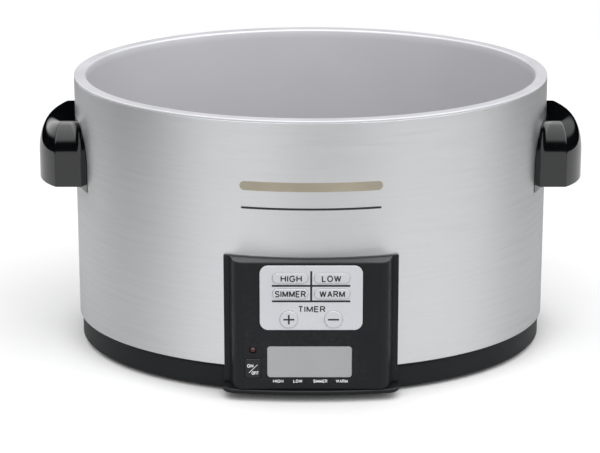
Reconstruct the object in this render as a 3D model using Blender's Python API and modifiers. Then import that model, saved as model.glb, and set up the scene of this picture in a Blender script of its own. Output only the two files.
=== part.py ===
"""Heating base of an oval programmable slow cooker, as an assembly of separate pieces.

The oval's axis is world Z, the control panel faces -Y and the floor is z = 0.
Lengths below are in millimetres. The mesh helpers turn them into metres.
"""
import math

import bmesh
import bpy
from mathutils import Matrix, Vector

MM = 0.001
GAP = 0.3                 # clearance between neighbouring pieces
WELD = 0.000003           # vertices closer than this many metres are one after a cut
SEGMENTS = 48             # facets around the oval

# Oval body
HALF_WIDTH = 158.0
HALF_DEPTH = 0.78 * HALF_WIDTH
RIM_TOP = 184.6
RIM_WIDTH = 7.9
SLEEVE_BOTTOM = 19.0
SLEEVE_TOP = 181.5
SLEEVE_WALL = 0.8
WELL_WALL = 1.0
WELL_FLOOR = 44.0         # upper face of the well's floor
WELL_CORNER = 16.0        # radius between its wall and floor
WELL_DRAFT = 0.05         # inward slope of its wall

# Moulded base
BASE_INSET = 1.9          # base wall inside the sleeve's outline
BASE_BOTTOM = 2.0
BASE_LIP_TOP = 30.0
FLANGE_BOTTOM = 5.5
FLANGE_TOP = 8.1
TONGUE_TOP = 8.2
TONGUE_BOTTOM = 5.2
TONGUE_HALF = 57.0
TONGUE_FRONT = -134.7
PLATE_BOTTOM = 3.6
PLATE_TOP = 5.2
FOOT_INSET = 30.0
FOOT_ANGLE = 50.0
BASE_SCREW_INSET = 10.7
BASE_SCREW_ANGLE = 35.0

# Control panel, seen from the front
FACE_Y = -132.2
PANEL_HALF = 50.5
PANEL_ROOT_HALF = 53.0    # the flanks lean outward towards the sleeve
PANEL_BOTTOM = 8.5
PANEL_TOP = 94.5
PANEL_CORNER = 7.5
PANEL_WALL = 2.2
PANEL_BACK = -115.5
BOX_HALF = 50.2           # the part of the housing behind the sleeve
BEZEL_HALF = 55.5
BEZEL_TOP = 96.2
BEZEL_WALL = 2.0
KEYPAD = (0.0, 70.85, 65.4, 43.3, 5.4)        # x, z, width, height, corner radius
KEYPAD_PROUD = 0.4
KEYPAD_THICK = 1.3
DISPLAY = (-1.0, 27.25, 54.2, 21.3, 2.0)
POWER_KEY = (-37.2, 23.1, 9.8, 12.8, 1.0)
LED_X = -37.2
LED_Z = 35.4
LED_RADIUS = 2.0

# Keys
FUNCTION_KEY_X = 13.3
FUNCTION_KEY_SIZE = (22.6, 6.7, 3.3)          # width, height, corner radius
UPPER_ROW_Z = 84.15
LOWER_ROW_Z = 73.75
TIMER_KEY_X = 14.2
TIMER_KEY_Z = 56.5
TIMER_KEY_SIZE = (11.4, 11.4, 5.69)
KEY_PROUD = 1.0           # key face in front of the panel face
POWER_KEY_PROUD = 0.6
KEY_FLANGE = 1.0          # retaining flange around the key, behind the plate
KEY_STEM_RADIUS = 1.2
KEY_STEM_END = -124.9

# Electronics
BOARD_FRONT = -121.6
BOARD_BACK = -120.0
SWITCH_SIZE = 6.0
SWITCH_FRONT = -124.5
SHIELD_FRONT = -115.2
SHIELD_BACK = -114.2
POWER_BOARD_LOW = (-80.0, 7.0, 12.0)
POWER_BOARD_HIGH = (-8.0, 55.0, 13.6)
BOARD_POST_INSET = 4.0
PIN_RADIUS = 1.2

# Handles
HANDLE_TOP = 157.2
HANDLE_SHOULDER = 131.0   # height where the shoulder starts to round in
HANDLE_BOTTOM = 112.8
HANDLE_REACH = 182.7
HANDLE_WALL = 3.0
HANDLE_SCREW_Y = 18.0
HANDLE_SCREW_Z = 145.0

# Heating parts
BAND_BOTTOM = 98.0
BAND_TOP = 138.0
BAND_WALL = 2.4
BAND_GAP_HALF = 9.0
CLAMP_Y = 118.9
CLAMP_Z = 118.0
GLAND_Z = 40.0
GLAND_BORE = 3.75
GLAND_END = -TONGUE_FRONT
BRACKET_TOP = WELL_FLOOR - WELL_WALL - GAP
BRACKET_DECK = 34.5

STEEL = ("stainless", (0.62, 0.63, 0.65), 0.32, 1.0)
WELL_COAT = ("well_coating", (0.60, 0.60, 0.63), 0.45, 0.6)
BLACK_SATIN = ("black_satin", (0.035, 0.036, 0.037), 0.42, 0.0)
BLACK_GLOSS = ("black_gloss", (0.012, 0.013, 0.014), 0.16, 0.0)
RUBBER = ("black_rubber", (0.03, 0.03, 0.03), 0.85, 0.0)
SILVER = ("keypad_silver", (0.66, 0.67, 0.71), 0.38, 0.1)
KEY_SILVER = ("key_silver", (0.64, 0.65, 0.69), 0.35, 0.1)
KEY_BLACK = ("key_black", (0.02, 0.02, 0.022), 0.35, 0.0)
LENS = ("display_lens", (0.40, 0.41, 0.42), 0.15, 0.0)
LED_RED = ("led_red", (0.22, 0.01, 0.015), 0.20, 0.0)
LCD = ("lcd_grey", (0.30, 0.33, 0.30), 0.40, 0.0)
BOARD_GREEN = ("board_green", (0.03, 0.16, 0.07), 0.50, 0.0)
ZINC = ("zinc_steel", (0.55, 0.56, 0.55), 0.40, 1.0)
MICA = ("heater_mica", (0.45, 0.38, 0.28), 0.60, 0.2)
DARK_PART = ("component_black", (0.04, 0.04, 0.045), 0.50, 0.0)
COPPER = ("transformer_core", (0.30, 0.22, 0.14), 0.50, 0.3)
WIRE = ("wire_sleeve", (0.60, 0.58, 0.52), 0.70, 0.0)
CERAMIC = ("sensor_ceramic", (0.75, 0.73, 0.68), 0.60, 0.0)


# ---------------------------------------------------------------- scene helpers
def clear_scene():
    for obj in list(bpy.data.objects):
        bpy.data.objects.remove(obj, do_unlink=True)


def make_collection(name):
    collection = bpy.data.collections.new(name)
    bpy.context.scene.collection.children.link(collection)
    return collection


def get_material(look):
    name, colour, roughness, metallic = look
    material = bpy.data.materials.get(name)
    if material is None:
        material = bpy.data.materials.new(name)
        material.use_nodes = True
        shader = material.node_tree.nodes["Principled BSDF"]
        shader.inputs["Base Color"].default_value = (*colour, 1.0)
        shader.inputs["Roughness"].default_value = roughness
        shader.inputs["Metallic"].default_value = metallic
    return material


def add_object(name, data, look, at=(0.0, 0.0, 0.0)):
    """Link an object that holds the data, placed at a point given in millimetres."""
    obj = bpy.data.objects.new(name, data)
    obj.location = Vector(at) * MM
    PARTS.objects.link(obj)
    if look is not None:
        data.materials.append(get_material(look))
    return obj


def finish(obj):
    """Shade round faces smooth and keep edges sharp."""
    obj.data.shade_smooth()
    obj.data.set_sharp_from_angle(angle=math.radians(35))
    return obj


def bake(obj):
    """Replace an object's data by its evaluated mesh and drop the modifiers."""
    bpy.context.view_layer.update()
    evaluated = obj.evaluated_get(bpy.context.evaluated_depsgraph_get())
    mesh = bpy.data.meshes.new_from_object(evaluated)
    mesh.name = obj.name
    obj.modifiers.clear()
    obj.data = mesh
    return obj


def combine(obj, tools, operation):
    """Join or cut an object with tool objects, which are used up."""
    for tool in tools:
        modifier = obj.modifiers.new(operation.lower(), "BOOLEAN")
        modifier.operation = operation
        modifier.solver = "EXACT"
        modifier.object = tool
    bake(obj)
    for tool in tools:
        bpy.data.objects.remove(tool, do_unlink=True)
    shape = bmesh.new()
    shape.from_mesh(obj.data)
    bmesh.ops.remove_doubles(shape, verts=shape.verts, dist=WELD)
    bmesh.ops.dissolve_degenerate(shape, edges=shape.edges, dist=WELD)
    shape.to_mesh(obj.data)
    shape.free()
    return finish(obj)


def join(obj, *tools):
    return combine(obj, tools, "UNION")


def cut(obj, *tools):
    return combine(obj, tools, "DIFFERENCE")


# ---------------------------------------------------------------- shape helpers
def box(name, low, high, look=None):
    low, high = Vector(low), Vector(high)
    middle = (low + high) / 2
    shape = bmesh.new()
    bmesh.ops.create_cube(shape, size=1.0)
    bmesh.ops.scale(shape, vec=(high - low) * MM, verts=shape.verts)
    mesh = bpy.data.meshes.new(name)
    shape.to_mesh(mesh)
    shape.free()
    return add_object(name, mesh, look, middle)


def rod(name, radius, start, end, segments=16, look=None):
    """A plain cylinder between two points."""
    start, end = Vector(start), Vector(end)
    along = end - start
    shape = bmesh.new()
    bmesh.ops.create_cone(shape, cap_ends=True, segments=segments, radius1=radius * MM,
                          radius2=radius * MM, depth=along.length * MM)
    turn = Vector((0, 0, 1)).rotation_difference(along).to_matrix()
    bmesh.ops.rotate(shape, verts=shape.verts, matrix=turn)
    mesh = bpy.data.meshes.new(name)
    shape.to_mesh(mesh)
    shape.free()
    return finish(add_object(name, mesh, look, (start + end) / 2))


def turned(name, profile, look, at=(0.0, 0.0, 0.0), axis=(0, 0, 1), segments=16, closed=False):
    """A profile of (radius, height) points, run down its outer side, turned about an axis."""
    count = len(profile)
    edges = [(i, i + 1) for i in range(count - 1)]
    if closed:
        edges.append((count - 1, 0))
    mesh = bpy.data.meshes.new(name)
    mesh.from_pydata([(r * MM, 0.0, h * MM) for r, h in profile], edges, [])
    obj = add_object(name, mesh, look, at)
    screw = obj.modifiers.new("turn", "SCREW")
    screw.steps = segments
    screw.render_steps = segments
    screw.use_merge_vertices = True
    screw.merge_threshold = 0.00001
    bake(obj)
    turn = Vector((0, 0, 1)).rotation_difference(Vector(axis)).to_matrix().to_4x4()
    obj.data.transform(turn)
    return finish(obj)


def rounded_rect(size, centre=(0.0, 0.0), grow=0.0, steps=3):
    """Outline of a rectangle (width, height, corner radius), grown by an even margin."""
    width, height, radius = size
    radius = radius + grow
    half_u = width / 2 + grow - radius
    half_v = height / 2 + grow - radius
    points = []
    for quarter, (su, sv) in enumerate(((1, 1), (-1, 1), (-1, -1), (1, -1))):
        for step in range(steps + 1):
            angle = math.pi / 2 * (quarter + step / steps)
            u = centre[0] + su * half_u + radius * math.cos(angle)
            v = centre[1] + sv * half_v + radius * math.sin(angle)
            points.append((u, v))
    return points


def ring_outline(radius, centre=(0.0, 0.0), segments=16):
    turns = (2 * math.pi * i / segments for i in range(segments))
    return [(centre[0] + radius * math.cos(a), centre[1] + radius * math.sin(a)) for a in turns]


def extruded(name, loops, low, high, look=None, axis="Z", at=(0.0, 0.0, 0.0)):
    """A flat outline with holes. Axis Z: (x, y) outlines. Axis Y: (x, z) outlines."""
    curve = bpy.data.curves.new(name, "CURVE")
    curve.dimensions = "2D"
    curve.fill_mode = "BOTH"
    curve.extrude = (high - low) / 2 * MM
    for loop in loops:
        spline = curve.splines.new("POLY")
        spline.points.add(len(loop) - 1)
        spline.use_cyclic_u = True
        for point, (u, v) in zip(spline.points, loop):
            point.co = (u * MM, v * MM, 0.0, 1.0)
    outline = bpy.data.objects.new(name + "_outline", curve)
    PARTS.objects.link(outline)
    bpy.context.view_layer.update()
    evaluated = outline.evaluated_get(bpy.context.evaluated_depsgraph_get())
    mesh = bpy.data.meshes.new_from_object(evaluated)
    bpy.data.objects.remove(outline, do_unlink=True)
    weld = bmesh.new()
    weld.from_mesh(mesh)
    bmesh.ops.remove_doubles(weld, verts=weld.verts, dist=0.00001)
    bmesh.ops.recalc_face_normals(weld, faces=weld.faces)
    weld.to_mesh(mesh)
    weld.free()
    middle = (low + high) / 2 * MM
    if axis == "Y":
        mesh.transform(Matrix.Translation((0, middle, 0)) @ Matrix.Rotation(math.pi / 2, 4, "X"))
    else:
        mesh.transform(Matrix.Translation((0, 0, middle)))
    return finish(add_object(name, mesh, look, at))


def loft(name, outlines, look=None, close_profile=False, cap=True):
    """Skin over outlines of 3-D points that share one count, from first to last."""
    shape = bmesh.new()
    rings = [[shape.verts.new(Vector(p) * MM) for p in outline] for outline in outlines]
    pairs = list(zip(rings, rings[1:]))
    if close_profile:
        pairs.append((rings[-1], rings[0]))
    for first, second in pairs:
        for i in range(len(first)):
            k = (i + 1) % len(first)
            shape.faces.new((first[i], first[k], second[k], second[i]))
    if cap:
        shape.faces.new(reversed(rings[0]))
        shape.faces.new(rings[-1])
        bmesh.ops.recalc_face_normals(shape, faces=shape.faces)
    elif close_profile:
        bmesh.ops.recalc_face_normals(shape, faces=shape.faces)
    mesh = bpy.data.meshes.new(name)
    shape.to_mesh(mesh)
    shape.free()
    return finish(add_object(name, mesh, look))


def bent_sheet(name, points, low_y, high_y, thickness, look, at=(0.0, 0.0, 0.0)):
    """A strip that follows (x, z) points on its upper face, thickened downwards."""
    mesh = bpy.data.meshes.new(name)
    corners = [(x * MM, y * MM, z * MM) for x, z in points for y in (low_y, high_y)]
    faces = [(2 * i, 2 * i + 2, 2 * i + 3, 2 * i + 1) for i in range(len(points) - 1)]
    mesh.from_pydata(corners, [], faces)
    obj = add_object(name, mesh, look, at)
    solid = obj.modifiers.new("thickness", "SOLIDIFY")
    solid.thickness = thickness * MM
    solid.offset = -1.0
    solid.use_even_offset = True
    return finish(bake(obj))


def smooth_path(points, per_span=3):
    """Catmull-Rom points through a short list of hand-set points."""
    knots = [Vector(p) for p in points]
    knots = [2 * knots[0] - knots[1]] + knots + [2 * knots[-1] - knots[-2]]
    path = []
    for a, b, c, d in zip(knots, knots[1:], knots[2:], knots[3:]):
        for step in range(per_span):
            t = step / per_span
            path.append(0.5 * (2 * b + (c - a) * t + (2 * a - 5 * b + 4 * c - d) * t * t
                               + (3 * b - a - 3 * c + d) * t * t * t))
    path.append(knots[-2])
    return path


def tube(name, points, radius, look):
    curve = bpy.data.curves.new(name, "CURVE")
    curve.dimensions = "3D"
    curve.bevel_depth = radius * MM
    curve.bevel_resolution = 2
    curve.use_fill_caps = True
    path = smooth_path(points)
    spline = curve.splines.new("POLY")
    spline.points.add(len(path) - 1)
    for point, place in zip(spline.points, path):
        point.co = (*(place * MM), 1.0)
    return add_object(name, curve, look)


# ---------------------------------------------------------------- oval helpers
def oval_point(inset, angle):
    return ((HALF_WIDTH - inset) * math.cos(angle), (HALF_DEPTH - inset) * math.sin(angle))


def oval_outline(inset, count=SEGMENTS):
    return [oval_point(inset, 2 * math.pi * i / count) for i in range(count)]


def oval_row(inset, height):
    return [(x, y, height) for x, y in oval_outline(inset)]


def oval_x(inset, y):
    """Half-width of the oval at a depth y."""
    return (HALF_WIDTH - inset) * math.sqrt(1 - (y / (HALF_DEPTH - inset)) ** 2)


def oval_ring(name, profile, look=None):
    """A closed profile of (inset, height) points swept around the oval."""
    rows = [oval_row(inset, height) for inset, height in profile]
    return loft(name, rows, look, close_profile=True, cap=False)


def oval_solid(name, inset, low, high, look=None):
    return loft(name, [oval_row(inset, low), oval_row(inset, high)], look)


def oval_sheet(name, inset, thickness, low, high, middle, half_angle, look, steps=10):
    """A piece of curved sheet along the oval, thickened outwards from the inset."""
    mesh = bpy.data.meshes.new(name)
    corners = []
    for i in range(steps + 1):
        x, y = oval_point(inset, middle + half_angle * (2 * i / steps - 1))
        corners += [(x * MM, y * MM, low * MM), (x * MM, y * MM, high * MM)]
    faces = [(2 * i, 2 * i + 2, 2 * i + 3, 2 * i + 1) for i in range(steps)]
    mesh.from_pydata(corners, [], faces)
    obj = add_object(name, mesh, look)
    solid = obj.modifiers.new("thickness", "SOLIDIFY")
    solid.thickness = thickness * MM
    solid.offset = 1.0
    solid.use_even_offset = True
    return finish(bake(obj))


def well_inset(height):
    """Inset of the well wall's inner face at a height above its corner."""
    return RIM_WIDTH + (RIM_TOP - height) * WELL_DRAFT


def around(inset, angle):
    """The four mirrored places on the oval at an angle, given in degrees."""
    turn = math.radians(angle)
    return [oval_point(inset, t) for t in (turn, math.pi - turn, math.pi + turn, -turn)]


# ---------------------------------------------------------------- body
def make_sleeve():
    profile = [(0.0, SLEEVE_BOTTOM), (0.0, SLEEVE_TOP),
               (SLEEVE_WALL, SLEEVE_TOP), (SLEEVE_WALL, SLEEVE_BOTTOM)]
    sleeve = oval_ring("outer_sleeve", profile, STEEL)
    opening_half = BOX_HALF + GAP
    tools = [
        box("panel_opening", (-opening_half, -140, 0), (opening_half, -100, PANEL_TOP + GAP)),
        rod("gland_hole", 6.3, (0, 110, GLAND_Z), (0, 140, GLAND_Z), 16),
    ]
    for side in (-1, 1):
        for y in (-HANDLE_SCREW_Y, HANDLE_SCREW_Y):
            tools.append(rod("screw_hole", 2.1, (side * 140, y, HANDLE_SCREW_Z),
                             (side * 170, y, HANDLE_SCREW_Z), 12))
    return cut(sleeve, *tools)


def make_well():
    """Pressed pan whose rolled rim rests on the sleeve's upper edge."""
    edge = 1.4
    top = RIM_TOP
    rows = [(0.0, SLEEVE_TOP + GAP), (0.0, top - edge), (edge, top),
            (RIM_WIDTH - edge, top), (RIM_WIDTH, top - edge)]
    corner_height = WELL_FLOOR + WELL_CORNER
    corner_inset = well_inset(corner_height)
    for step in range(5):
        angle = math.pi / 2 * step / 4
        rows.append((corner_inset + WELL_CORNER * (1 - math.cos(angle)),
                     corner_height - WELL_CORNER * math.sin(angle)))
    outlines = [oval_row(inset, height) for inset, height in rows]
    well = loft("heating_well", outlines, WELL_COAT, cap=False)
    shape = bmesh.new()
    shape.from_mesh(well.data)
    bottom = sorted(shape.verts, key=lambda v: v.co.z)[:SEGMENTS]
    edges = [e for e in shape.edges if all(v in bottom for v in e.verts)]
    bmesh.ops.contextual_create(shape, geom=edges)
    bmesh.ops.recalc_face_normals(shape, faces=shape.faces)
    floor = max(shape.faces, key=lambda f: len(f.verts))
    if floor.normal.z < 0:
        bmesh.ops.reverse_faces(shape, faces=shape.faces)
    shape.to_mesh(well.data)
    shape.free()
    solid = well.modifiers.new("sheet", "SOLIDIFY")
    solid.thickness = WELL_WALL * MM
    solid.offset = -1.0
    solid.use_even_offset = True
    return finish(bake(well))


def make_base_ring():
    wall = 3.4
    profile = [(3.4, BASE_BOTTOM), (BASE_INSET, 3.5), (BASE_INSET, 16.8), (0.2, 18.7), (1.2, 18.7),
               (1.2, BASE_LIP_TOP), (wall, BASE_LIP_TOP), (wall + 0.5, FLANGE_TOP),
               (16.0, FLANGE_TOP), (16.0, FLANGE_BOTTOM), (5.4, FLANGE_BOTTOM), (5.4, BASE_BOTTOM)]
    ring = oval_ring("base_ring", profile, BLACK_SATIN)
    join(ring, extruded("tongue", [tongue_outline()], TONGUE_BOTTOM, TONGUE_TOP))
    opening_half = BOX_HALF + GAP
    tools = [
        box("panel_seat", (-opening_half, -140, TONGUE_TOP), (opening_half, -100, 40)),
        oval_solid("plate_recess", 5.4, 0.0, FLANGE_BOTTOM),
    ]
    for x, y in around(BASE_SCREW_INSET, BASE_SCREW_ANGLE):
        tools.append(rod("screw_hole", 1.8, (x, y, 0), (x, y, 12), 12))
    return cut(ring, *tools)


def tongue_outline():
    """Front lip under the panel: a shallow arc with rounded corners."""
    corner = 8.0
    sag = 5.0
    straight = TONGUE_HALF - corner
    points = []
    for i in range(11):
        x = straight * (2 * i / 10 - 1)
        points.append((x, TONGUE_FRONT + sag * (x / TONGUE_HALF) ** 2))
    corner_y = points[-1][1] + corner
    for step in range(1, 5):
        angle = math.pi / 2 * (step / 4 - 1)
        points.append((straight + corner * math.cos(angle), corner_y + corner * math.sin(angle)))
    points.append((TONGUE_HALF, -109.0))
    left = [(-x, y) for x, y in points if x > straight]
    return points + left[::-1]


def make_bottom_plate():
    loops = [oval_outline(5.8), ring_outline(2.3)]
    loops += [ring_outline(2.2, p, 12) for p in around(FOOT_INSET, FOOT_ANGLE)]
    loops += [ring_outline(1.8, p, 12) for p in around(BASE_SCREW_INSET, BASE_SCREW_ANGLE)]
    slot = (34.0, 4.0, 1.99)
    for row in range(4):
        for side in (-1, 1):
            loops.append(rounded_rect(slot, (side * 60.0, -50.0 + 12.0 * row), steps=2))
    plate = extruded("bottom_plate", loops, PLATE_BOTTOM, PLATE_TOP, BLACK_SATIN)
    posts = []
    for x, y in power_board_posts():
        board_bottom = POWER_BOARD_LOW[2]
        board_top = POWER_BOARD_HIGH[2]
        profile = [(0.0, board_top + 1.4), (PIN_RADIUS, board_top + 1.4),
                   (PIN_RADIUS, board_bottom - GAP), (3.0, board_bottom - GAP),
                   (3.0, PLATE_TOP - 1.0), (0.0, PLATE_TOP - 1.0)]
        posts.append(turned("post", profile, None, (x, y, 0.0), segments=8))
    return join(plate, *posts)


def power_board_posts():
    low, high, edge = POWER_BOARD_LOW, POWER_BOARD_HIGH, BOARD_POST_INSET
    return [(x, y) for x in (low[0] + edge, high[0] - edge) for y in (low[1] + edge, high[1] - edge)]


def make_feet():
    """Rubber feet with a neck and a barb that snaps through the bottom plate."""
    profile = [(0.0, 7.3), (2.0, 7.3), (3.0, PLATE_TOP + GAP), (1.9, PLATE_TOP + GAP),
               (1.9, PLATE_BOTTOM - GAP), (8.5, PLATE_BOTTOM - GAP), (8.5, 0.6), (7.9, 0.0), (0.0, 0.0)]
    for number, (x, y) in enumerate(around(FOOT_INSET, FOOT_ANGLE), 1):
        turned(f"foot_{number}", profile, RUBBER, (x, y, 0.0), segments=14)


def make_base_screws():
    head = PLATE_BOTTOM - GAP
    profile = [(0.0, 10.0), (1.5, 10.0), (1.5, head), (3.0, head), (3.0, head - 1.0),
               (2.2, head - 1.4), (0.0, head - 1.4)]
    for number, (x, y) in enumerate(around(BASE_SCREW_INSET, BASE_SCREW_ANGLE), 1):
        turned(f"base_screw_{number}", profile, ZINC, (x, y, 0.0), segments=12)


# ---------------------------------------------------------------- handles
def handle_outline(height, wall=0.0):
    """Plan of the right handle at a height, inset by a wall thickness."""
    rise = (height + wall - HANDLE_SHOULDER) / (HANDLE_TOP - HANDLE_SHOULDER)
    drop = 1 - math.sqrt(1 - min(max(rise, 0.0), 1.0) ** 2)
    root = 44.0 - 17.0 * drop
    cheek = 31.0 - 6.0 * drop - wall
    edge_x = 170.0 - 5.0 * drop - 0.5 * wall
    reach = HANDLE_REACH - 13.0 * drop - wall
    half = []
    if wall == 0.0:
        root_x = oval_x(-GAP, root)
        for step in range(4):
            angle = math.pi / 2 * step / 3
            half.append((root_x + 7.0 * (1 - math.cos(angle)),
                         cheek + (root - cheek) * (1 - math.sin(angle))))
    else:
        root = cheek
        half.append((oval_x(-GAP - wall, root), root))
    bulge = reach - edge_x
    radius = (bulge ** 2 + cheek ** 2) / (2 * bulge)
    start = math.asin(cheek / radius)
    for step in range(5):
        angle = start * (1 - step / 5)
        half.append((reach - radius + radius * math.cos(angle), radius * math.sin(angle)))
    other = [(x, -y) for x, y in reversed(half)]
    back = [(oval_x(-GAP - wall, y), y) for y in (root * (2 * i / 6 - 1) for i in range(1, 6))]
    points = half + [(reach, 0.0)] + other + back
    return [(x, y, height) for x, y in points]


def handle_levels(low, wall=0.0):
    """Heights that follow the rounded shoulder up to the flat top."""
    rounding = HANDLE_TOP - HANDLE_SHOULDER
    turns = [math.pi / 2 * step / 5 for step in range(6)]
    return [low] + [HANDLE_SHOULDER + rounding * math.sin(t) - wall for t in turns]


def make_handle(name, side):
    shell = loft(name, [handle_outline(z) for z in handle_levels(HANDLE_BOTTOM)], BLACK_GLOSS)
    levels = handle_levels(HANDLE_BOTTOM - 5.0, HANDLE_WALL)
    cut(shell, loft("hollow", [handle_outline(z, HANDLE_WALL) for z in levels]))
    bosses = []
    holes = []
    for y in (-HANDLE_SCREW_Y, HANDLE_SCREW_Y):
        wall_x = oval_x(-GAP, y)
        bosses.append(rod("boss", 4.0, (wall_x + 1.5, y, HANDLE_SCREW_Z), (165, y, HANDLE_SCREW_Z), 12))
        holes.append(rod("hole", 1.8, (150, y, HANDLE_SCREW_Z), (163.5, y, HANDLE_SCREW_Z), 12))
    join(shell, *bosses)
    cut(shell, *holes)
    if side < 0:
        mirror_x(shell)
    return shell


def mirror_x(obj):
    shape = bmesh.new()
    shape.from_mesh(obj.data)
    bmesh.ops.scale(shape, vec=(-1, 1, 1), verts=shape.verts)
    bmesh.ops.reverse_faces(shape, faces=shape.faces)
    shape.to_mesh(obj.data)
    shape.free()
    return finish(obj)


def make_handle_fixings(label, side):
    """Inner reinforcing plate and the two screws that hold one handle."""
    thickness = 1.2
    inset = SLEEVE_WALL + 2 * GAP + thickness
    spread = math.asin(30.0 / HALF_DEPTH)
    middle = 0.0 if side > 0 else math.pi
    plate = oval_sheet(f"handle_plate_{label}", inset, thickness, 135.0, 155.0, middle, spread, ZINC)
    holes = []
    head_x = 152.4
    profile = [(0.0, 10.5), (1.5, 10.5), (1.5, 0.0), (3.5, 0.0), (3.5, -1.4), (2.4, -2.0), (0.0, -2.0)]
    for number, y in enumerate((-HANDLE_SCREW_Y, HANDLE_SCREW_Y), 1):
        holes.append(rod("hole", 2.1, (side * 140, y, HANDLE_SCREW_Z),
                         (side * 165, y, HANDLE_SCREW_Z), 12))
        turned(f"handle_screw_{label}_{number}", profile, ZINC,
               (side * head_x, y, HANDLE_SCREW_Z), (side, 0, 0), 12)
    return cut(plate, *holes)


# ---------------------------------------------------------------- control panel
def panel_outline(corner, half, root_half, front, back, root_y):
    """Plan of the housing: flat front, rounded vertical corners, leaning flanks."""
    right = [(root_half, back), (root_half, root_y)]
    for step in range(6):
        angle = -math.pi / 2 * step / 5
        right.append((half - corner + corner * math.cos(angle),
                      front + corner + corner * math.sin(angle)))
    return right + [(-x, y) for x, y in reversed(right)]


def make_control_housing():
    body = panel_outline(PANEL_CORNER, PANEL_HALF, PANEL_ROOT_HALF, FACE_Y, -105.0, -116.5)
    housing = extruded("control_housing", [body], PANEL_BOTTOM, PANEL_TOP, BLACK_SATIN)
    cut(housing, oval_solid("sleeve_surface", -GAP, 0.0, 120.0))
    bezel_angle = math.asin(BEZEL_HALF / (HALF_WIDTH + GAP))
    join(housing,
         box("rear_box", (-BOX_HALF, -125.0, PANEL_BOTTOM), (BOX_HALF, PANEL_BACK, PANEL_TOP)),
         oval_sheet("bezel", -GAP, BEZEL_WALL, PANEL_BOTTOM, BEZEL_TOP, -math.pi / 2, bezel_angle, None))
    inner_front = FACE_Y + PANEL_WALL
    inner_half = BOX_HALF - PANEL_WALL
    cavity = panel_outline(PANEL_CORNER - PANEL_WALL, inner_half, inner_half, inner_front, -110.0, -118.0)
    cut(housing, extruded("cavity", [cavity], PANEL_BOTTOM + PANEL_WALL, PANEL_TOP - PANEL_WALL))
    pad_x, pad_z = KEYPAD[:2]
    plate_back = FACE_Y - KEYPAD_PROUD + KEYPAD_THICK
    recess = rounded_rect(KEYPAD[2:], grow=GAP)
    tools = [
        extruded("recess", [recess], -140.0, plate_back + GAP, None, "Y", (pad_x, 0, pad_z)),
        extruded("display", [rounded_rect(DISPLAY[2:], grow=GAP)], -140.0, -126.0, None, "Y",
                 (DISPLAY[0], 0, DISPLAY[1])),
        extruded("power", [rounded_rect(POWER_KEY[2:], grow=GAP)], -140.0, -126.0, None, "Y",
                 (POWER_KEY[0], 0, POWER_KEY[1])),
        rod("led_hole", LED_RADIUS + GAP, (LED_X, -140, LED_Z), (LED_X, -126, LED_Z)),
    ]
    for _, x, z, size in key_places():
        tools.append(extruded("key", [rounded_rect(size, grow=GAP)], -140.0, -126.0, None, "Y", (x, 0, z)))
    cut(housing, *tools)
    posts = []
    for x, z in control_board_posts():
        profile = [(0.0, 11.5), (PIN_RADIUS, 11.5), (PIN_RADIUS, 8.2), (2.4, 8.2), (2.4, 0.0), (0.0, 0.0)]
        posts.append(turned("post", profile, None, (x, inner_front - 0.1, z), (0, 1, 0), 8))
    return join(housing, *posts)


def control_board_posts():
    return [(x, z) for x in (-42.5, 42.5) for z in (47.0, 86.0)]


def key_places():
    """Node name, centre and size of each key in the keypad."""
    places = []
    for name, x, z in (("key_high", -1, UPPER_ROW_Z), ("key_low", 1, UPPER_ROW_Z),
                       ("key_simmer", -1, LOWER_ROW_Z), ("key_warm", 1, LOWER_ROW_Z)):
        places.append((name, x * FUNCTION_KEY_X, z, FUNCTION_KEY_SIZE))
    for name, x in (("key_plus", -1), ("key_minus", 1)):
        places.append((name, x * TIMER_KEY_X, TIMER_KEY_Z, TIMER_KEY_SIZE))
    return places


def make_keypad_plate():
    pad_x, pad_z = KEYPAD[:2]
    front = FACE_Y - KEYPAD_PROUD
    loops = [rounded_rect(KEYPAD[2:])]
    for _, x, z, size in key_places():
        loops.append(rounded_rect(size, (x - pad_x, z - pad_z), GAP))
    return extruded("keypad_plate", loops, front, front + KEYPAD_THICK, SILVER, "Y", (pad_x, 0, pad_z))


def make_key(name, x, z, size, face, look):
    """A cap, a retaining flange and a stem. Its origin is on its slide's axis."""
    at = (x, face, z)
    flange_front = FACE_Y + PANEL_WALL + GAP
    cap = extruded(name, [rounded_rect(size)], 0.0, flange_front - face + 0.5, look, "Y", at)
    flange = extruded("flange", [rounded_rect(size, grow=KEY_FLANGE)], flange_front - face,
                      flange_front - face + 1.2, None, "Y", at)
    stem = rod("stem", KEY_STEM_RADIUS, (x, flange_front + 0.6, z), (x, KEY_STEM_END, z), 12)
    return join(cap, flange, stem)


def make_keys():
    for name, x, z, size in key_places():
        make_key(name, x, z, size, FACE_Y - KEY_PROUD, KEY_SILVER)
    x, z = POWER_KEY[:2]
    make_key("power_button", x, z, POWER_KEY[2:], FACE_Y - POWER_KEY_PROUD, KEY_BLACK)


def make_display():
    x, z = DISPLAY[:2]
    size = DISPLAY[2:]
    front = FACE_Y + 0.2
    seat = FACE_Y + PANEL_WALL + GAP
    lens = extruded("display_window", [rounded_rect(size)], front, seat + 0.4, LENS, "Y", (x, 0, z))
    join(lens, extruded("flange", [rounded_rect(size, grow=1.5)], seat, seat + 0.8, None, "Y", (x, 0, z)))
    half_width, half_height = size[0] / 2, size[1] / 2 + 1.5
    box("lcd_module", (x - half_width, seat + 1.1, z - half_height),
        (x + half_width, BOARD_FRONT - GAP, z + half_height), LCD)


def make_led():
    front = FACE_Y - 0.4
    depth = BOARD_FRONT - GAP - front
    dome = [(0.0, depth), (1.2, depth - 0.15), (1.8, depth - 0.7), (LED_RADIUS, depth - 1.5),
            (LED_RADIUS, 1.6), (2.6, 1.6), (2.6, 0.0), (0.0, 0.0)]
    turned("power_led", dome, LED_RED, (LED_X, BOARD_FRONT - GAP, LED_Z), (0, -1, 0))


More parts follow.
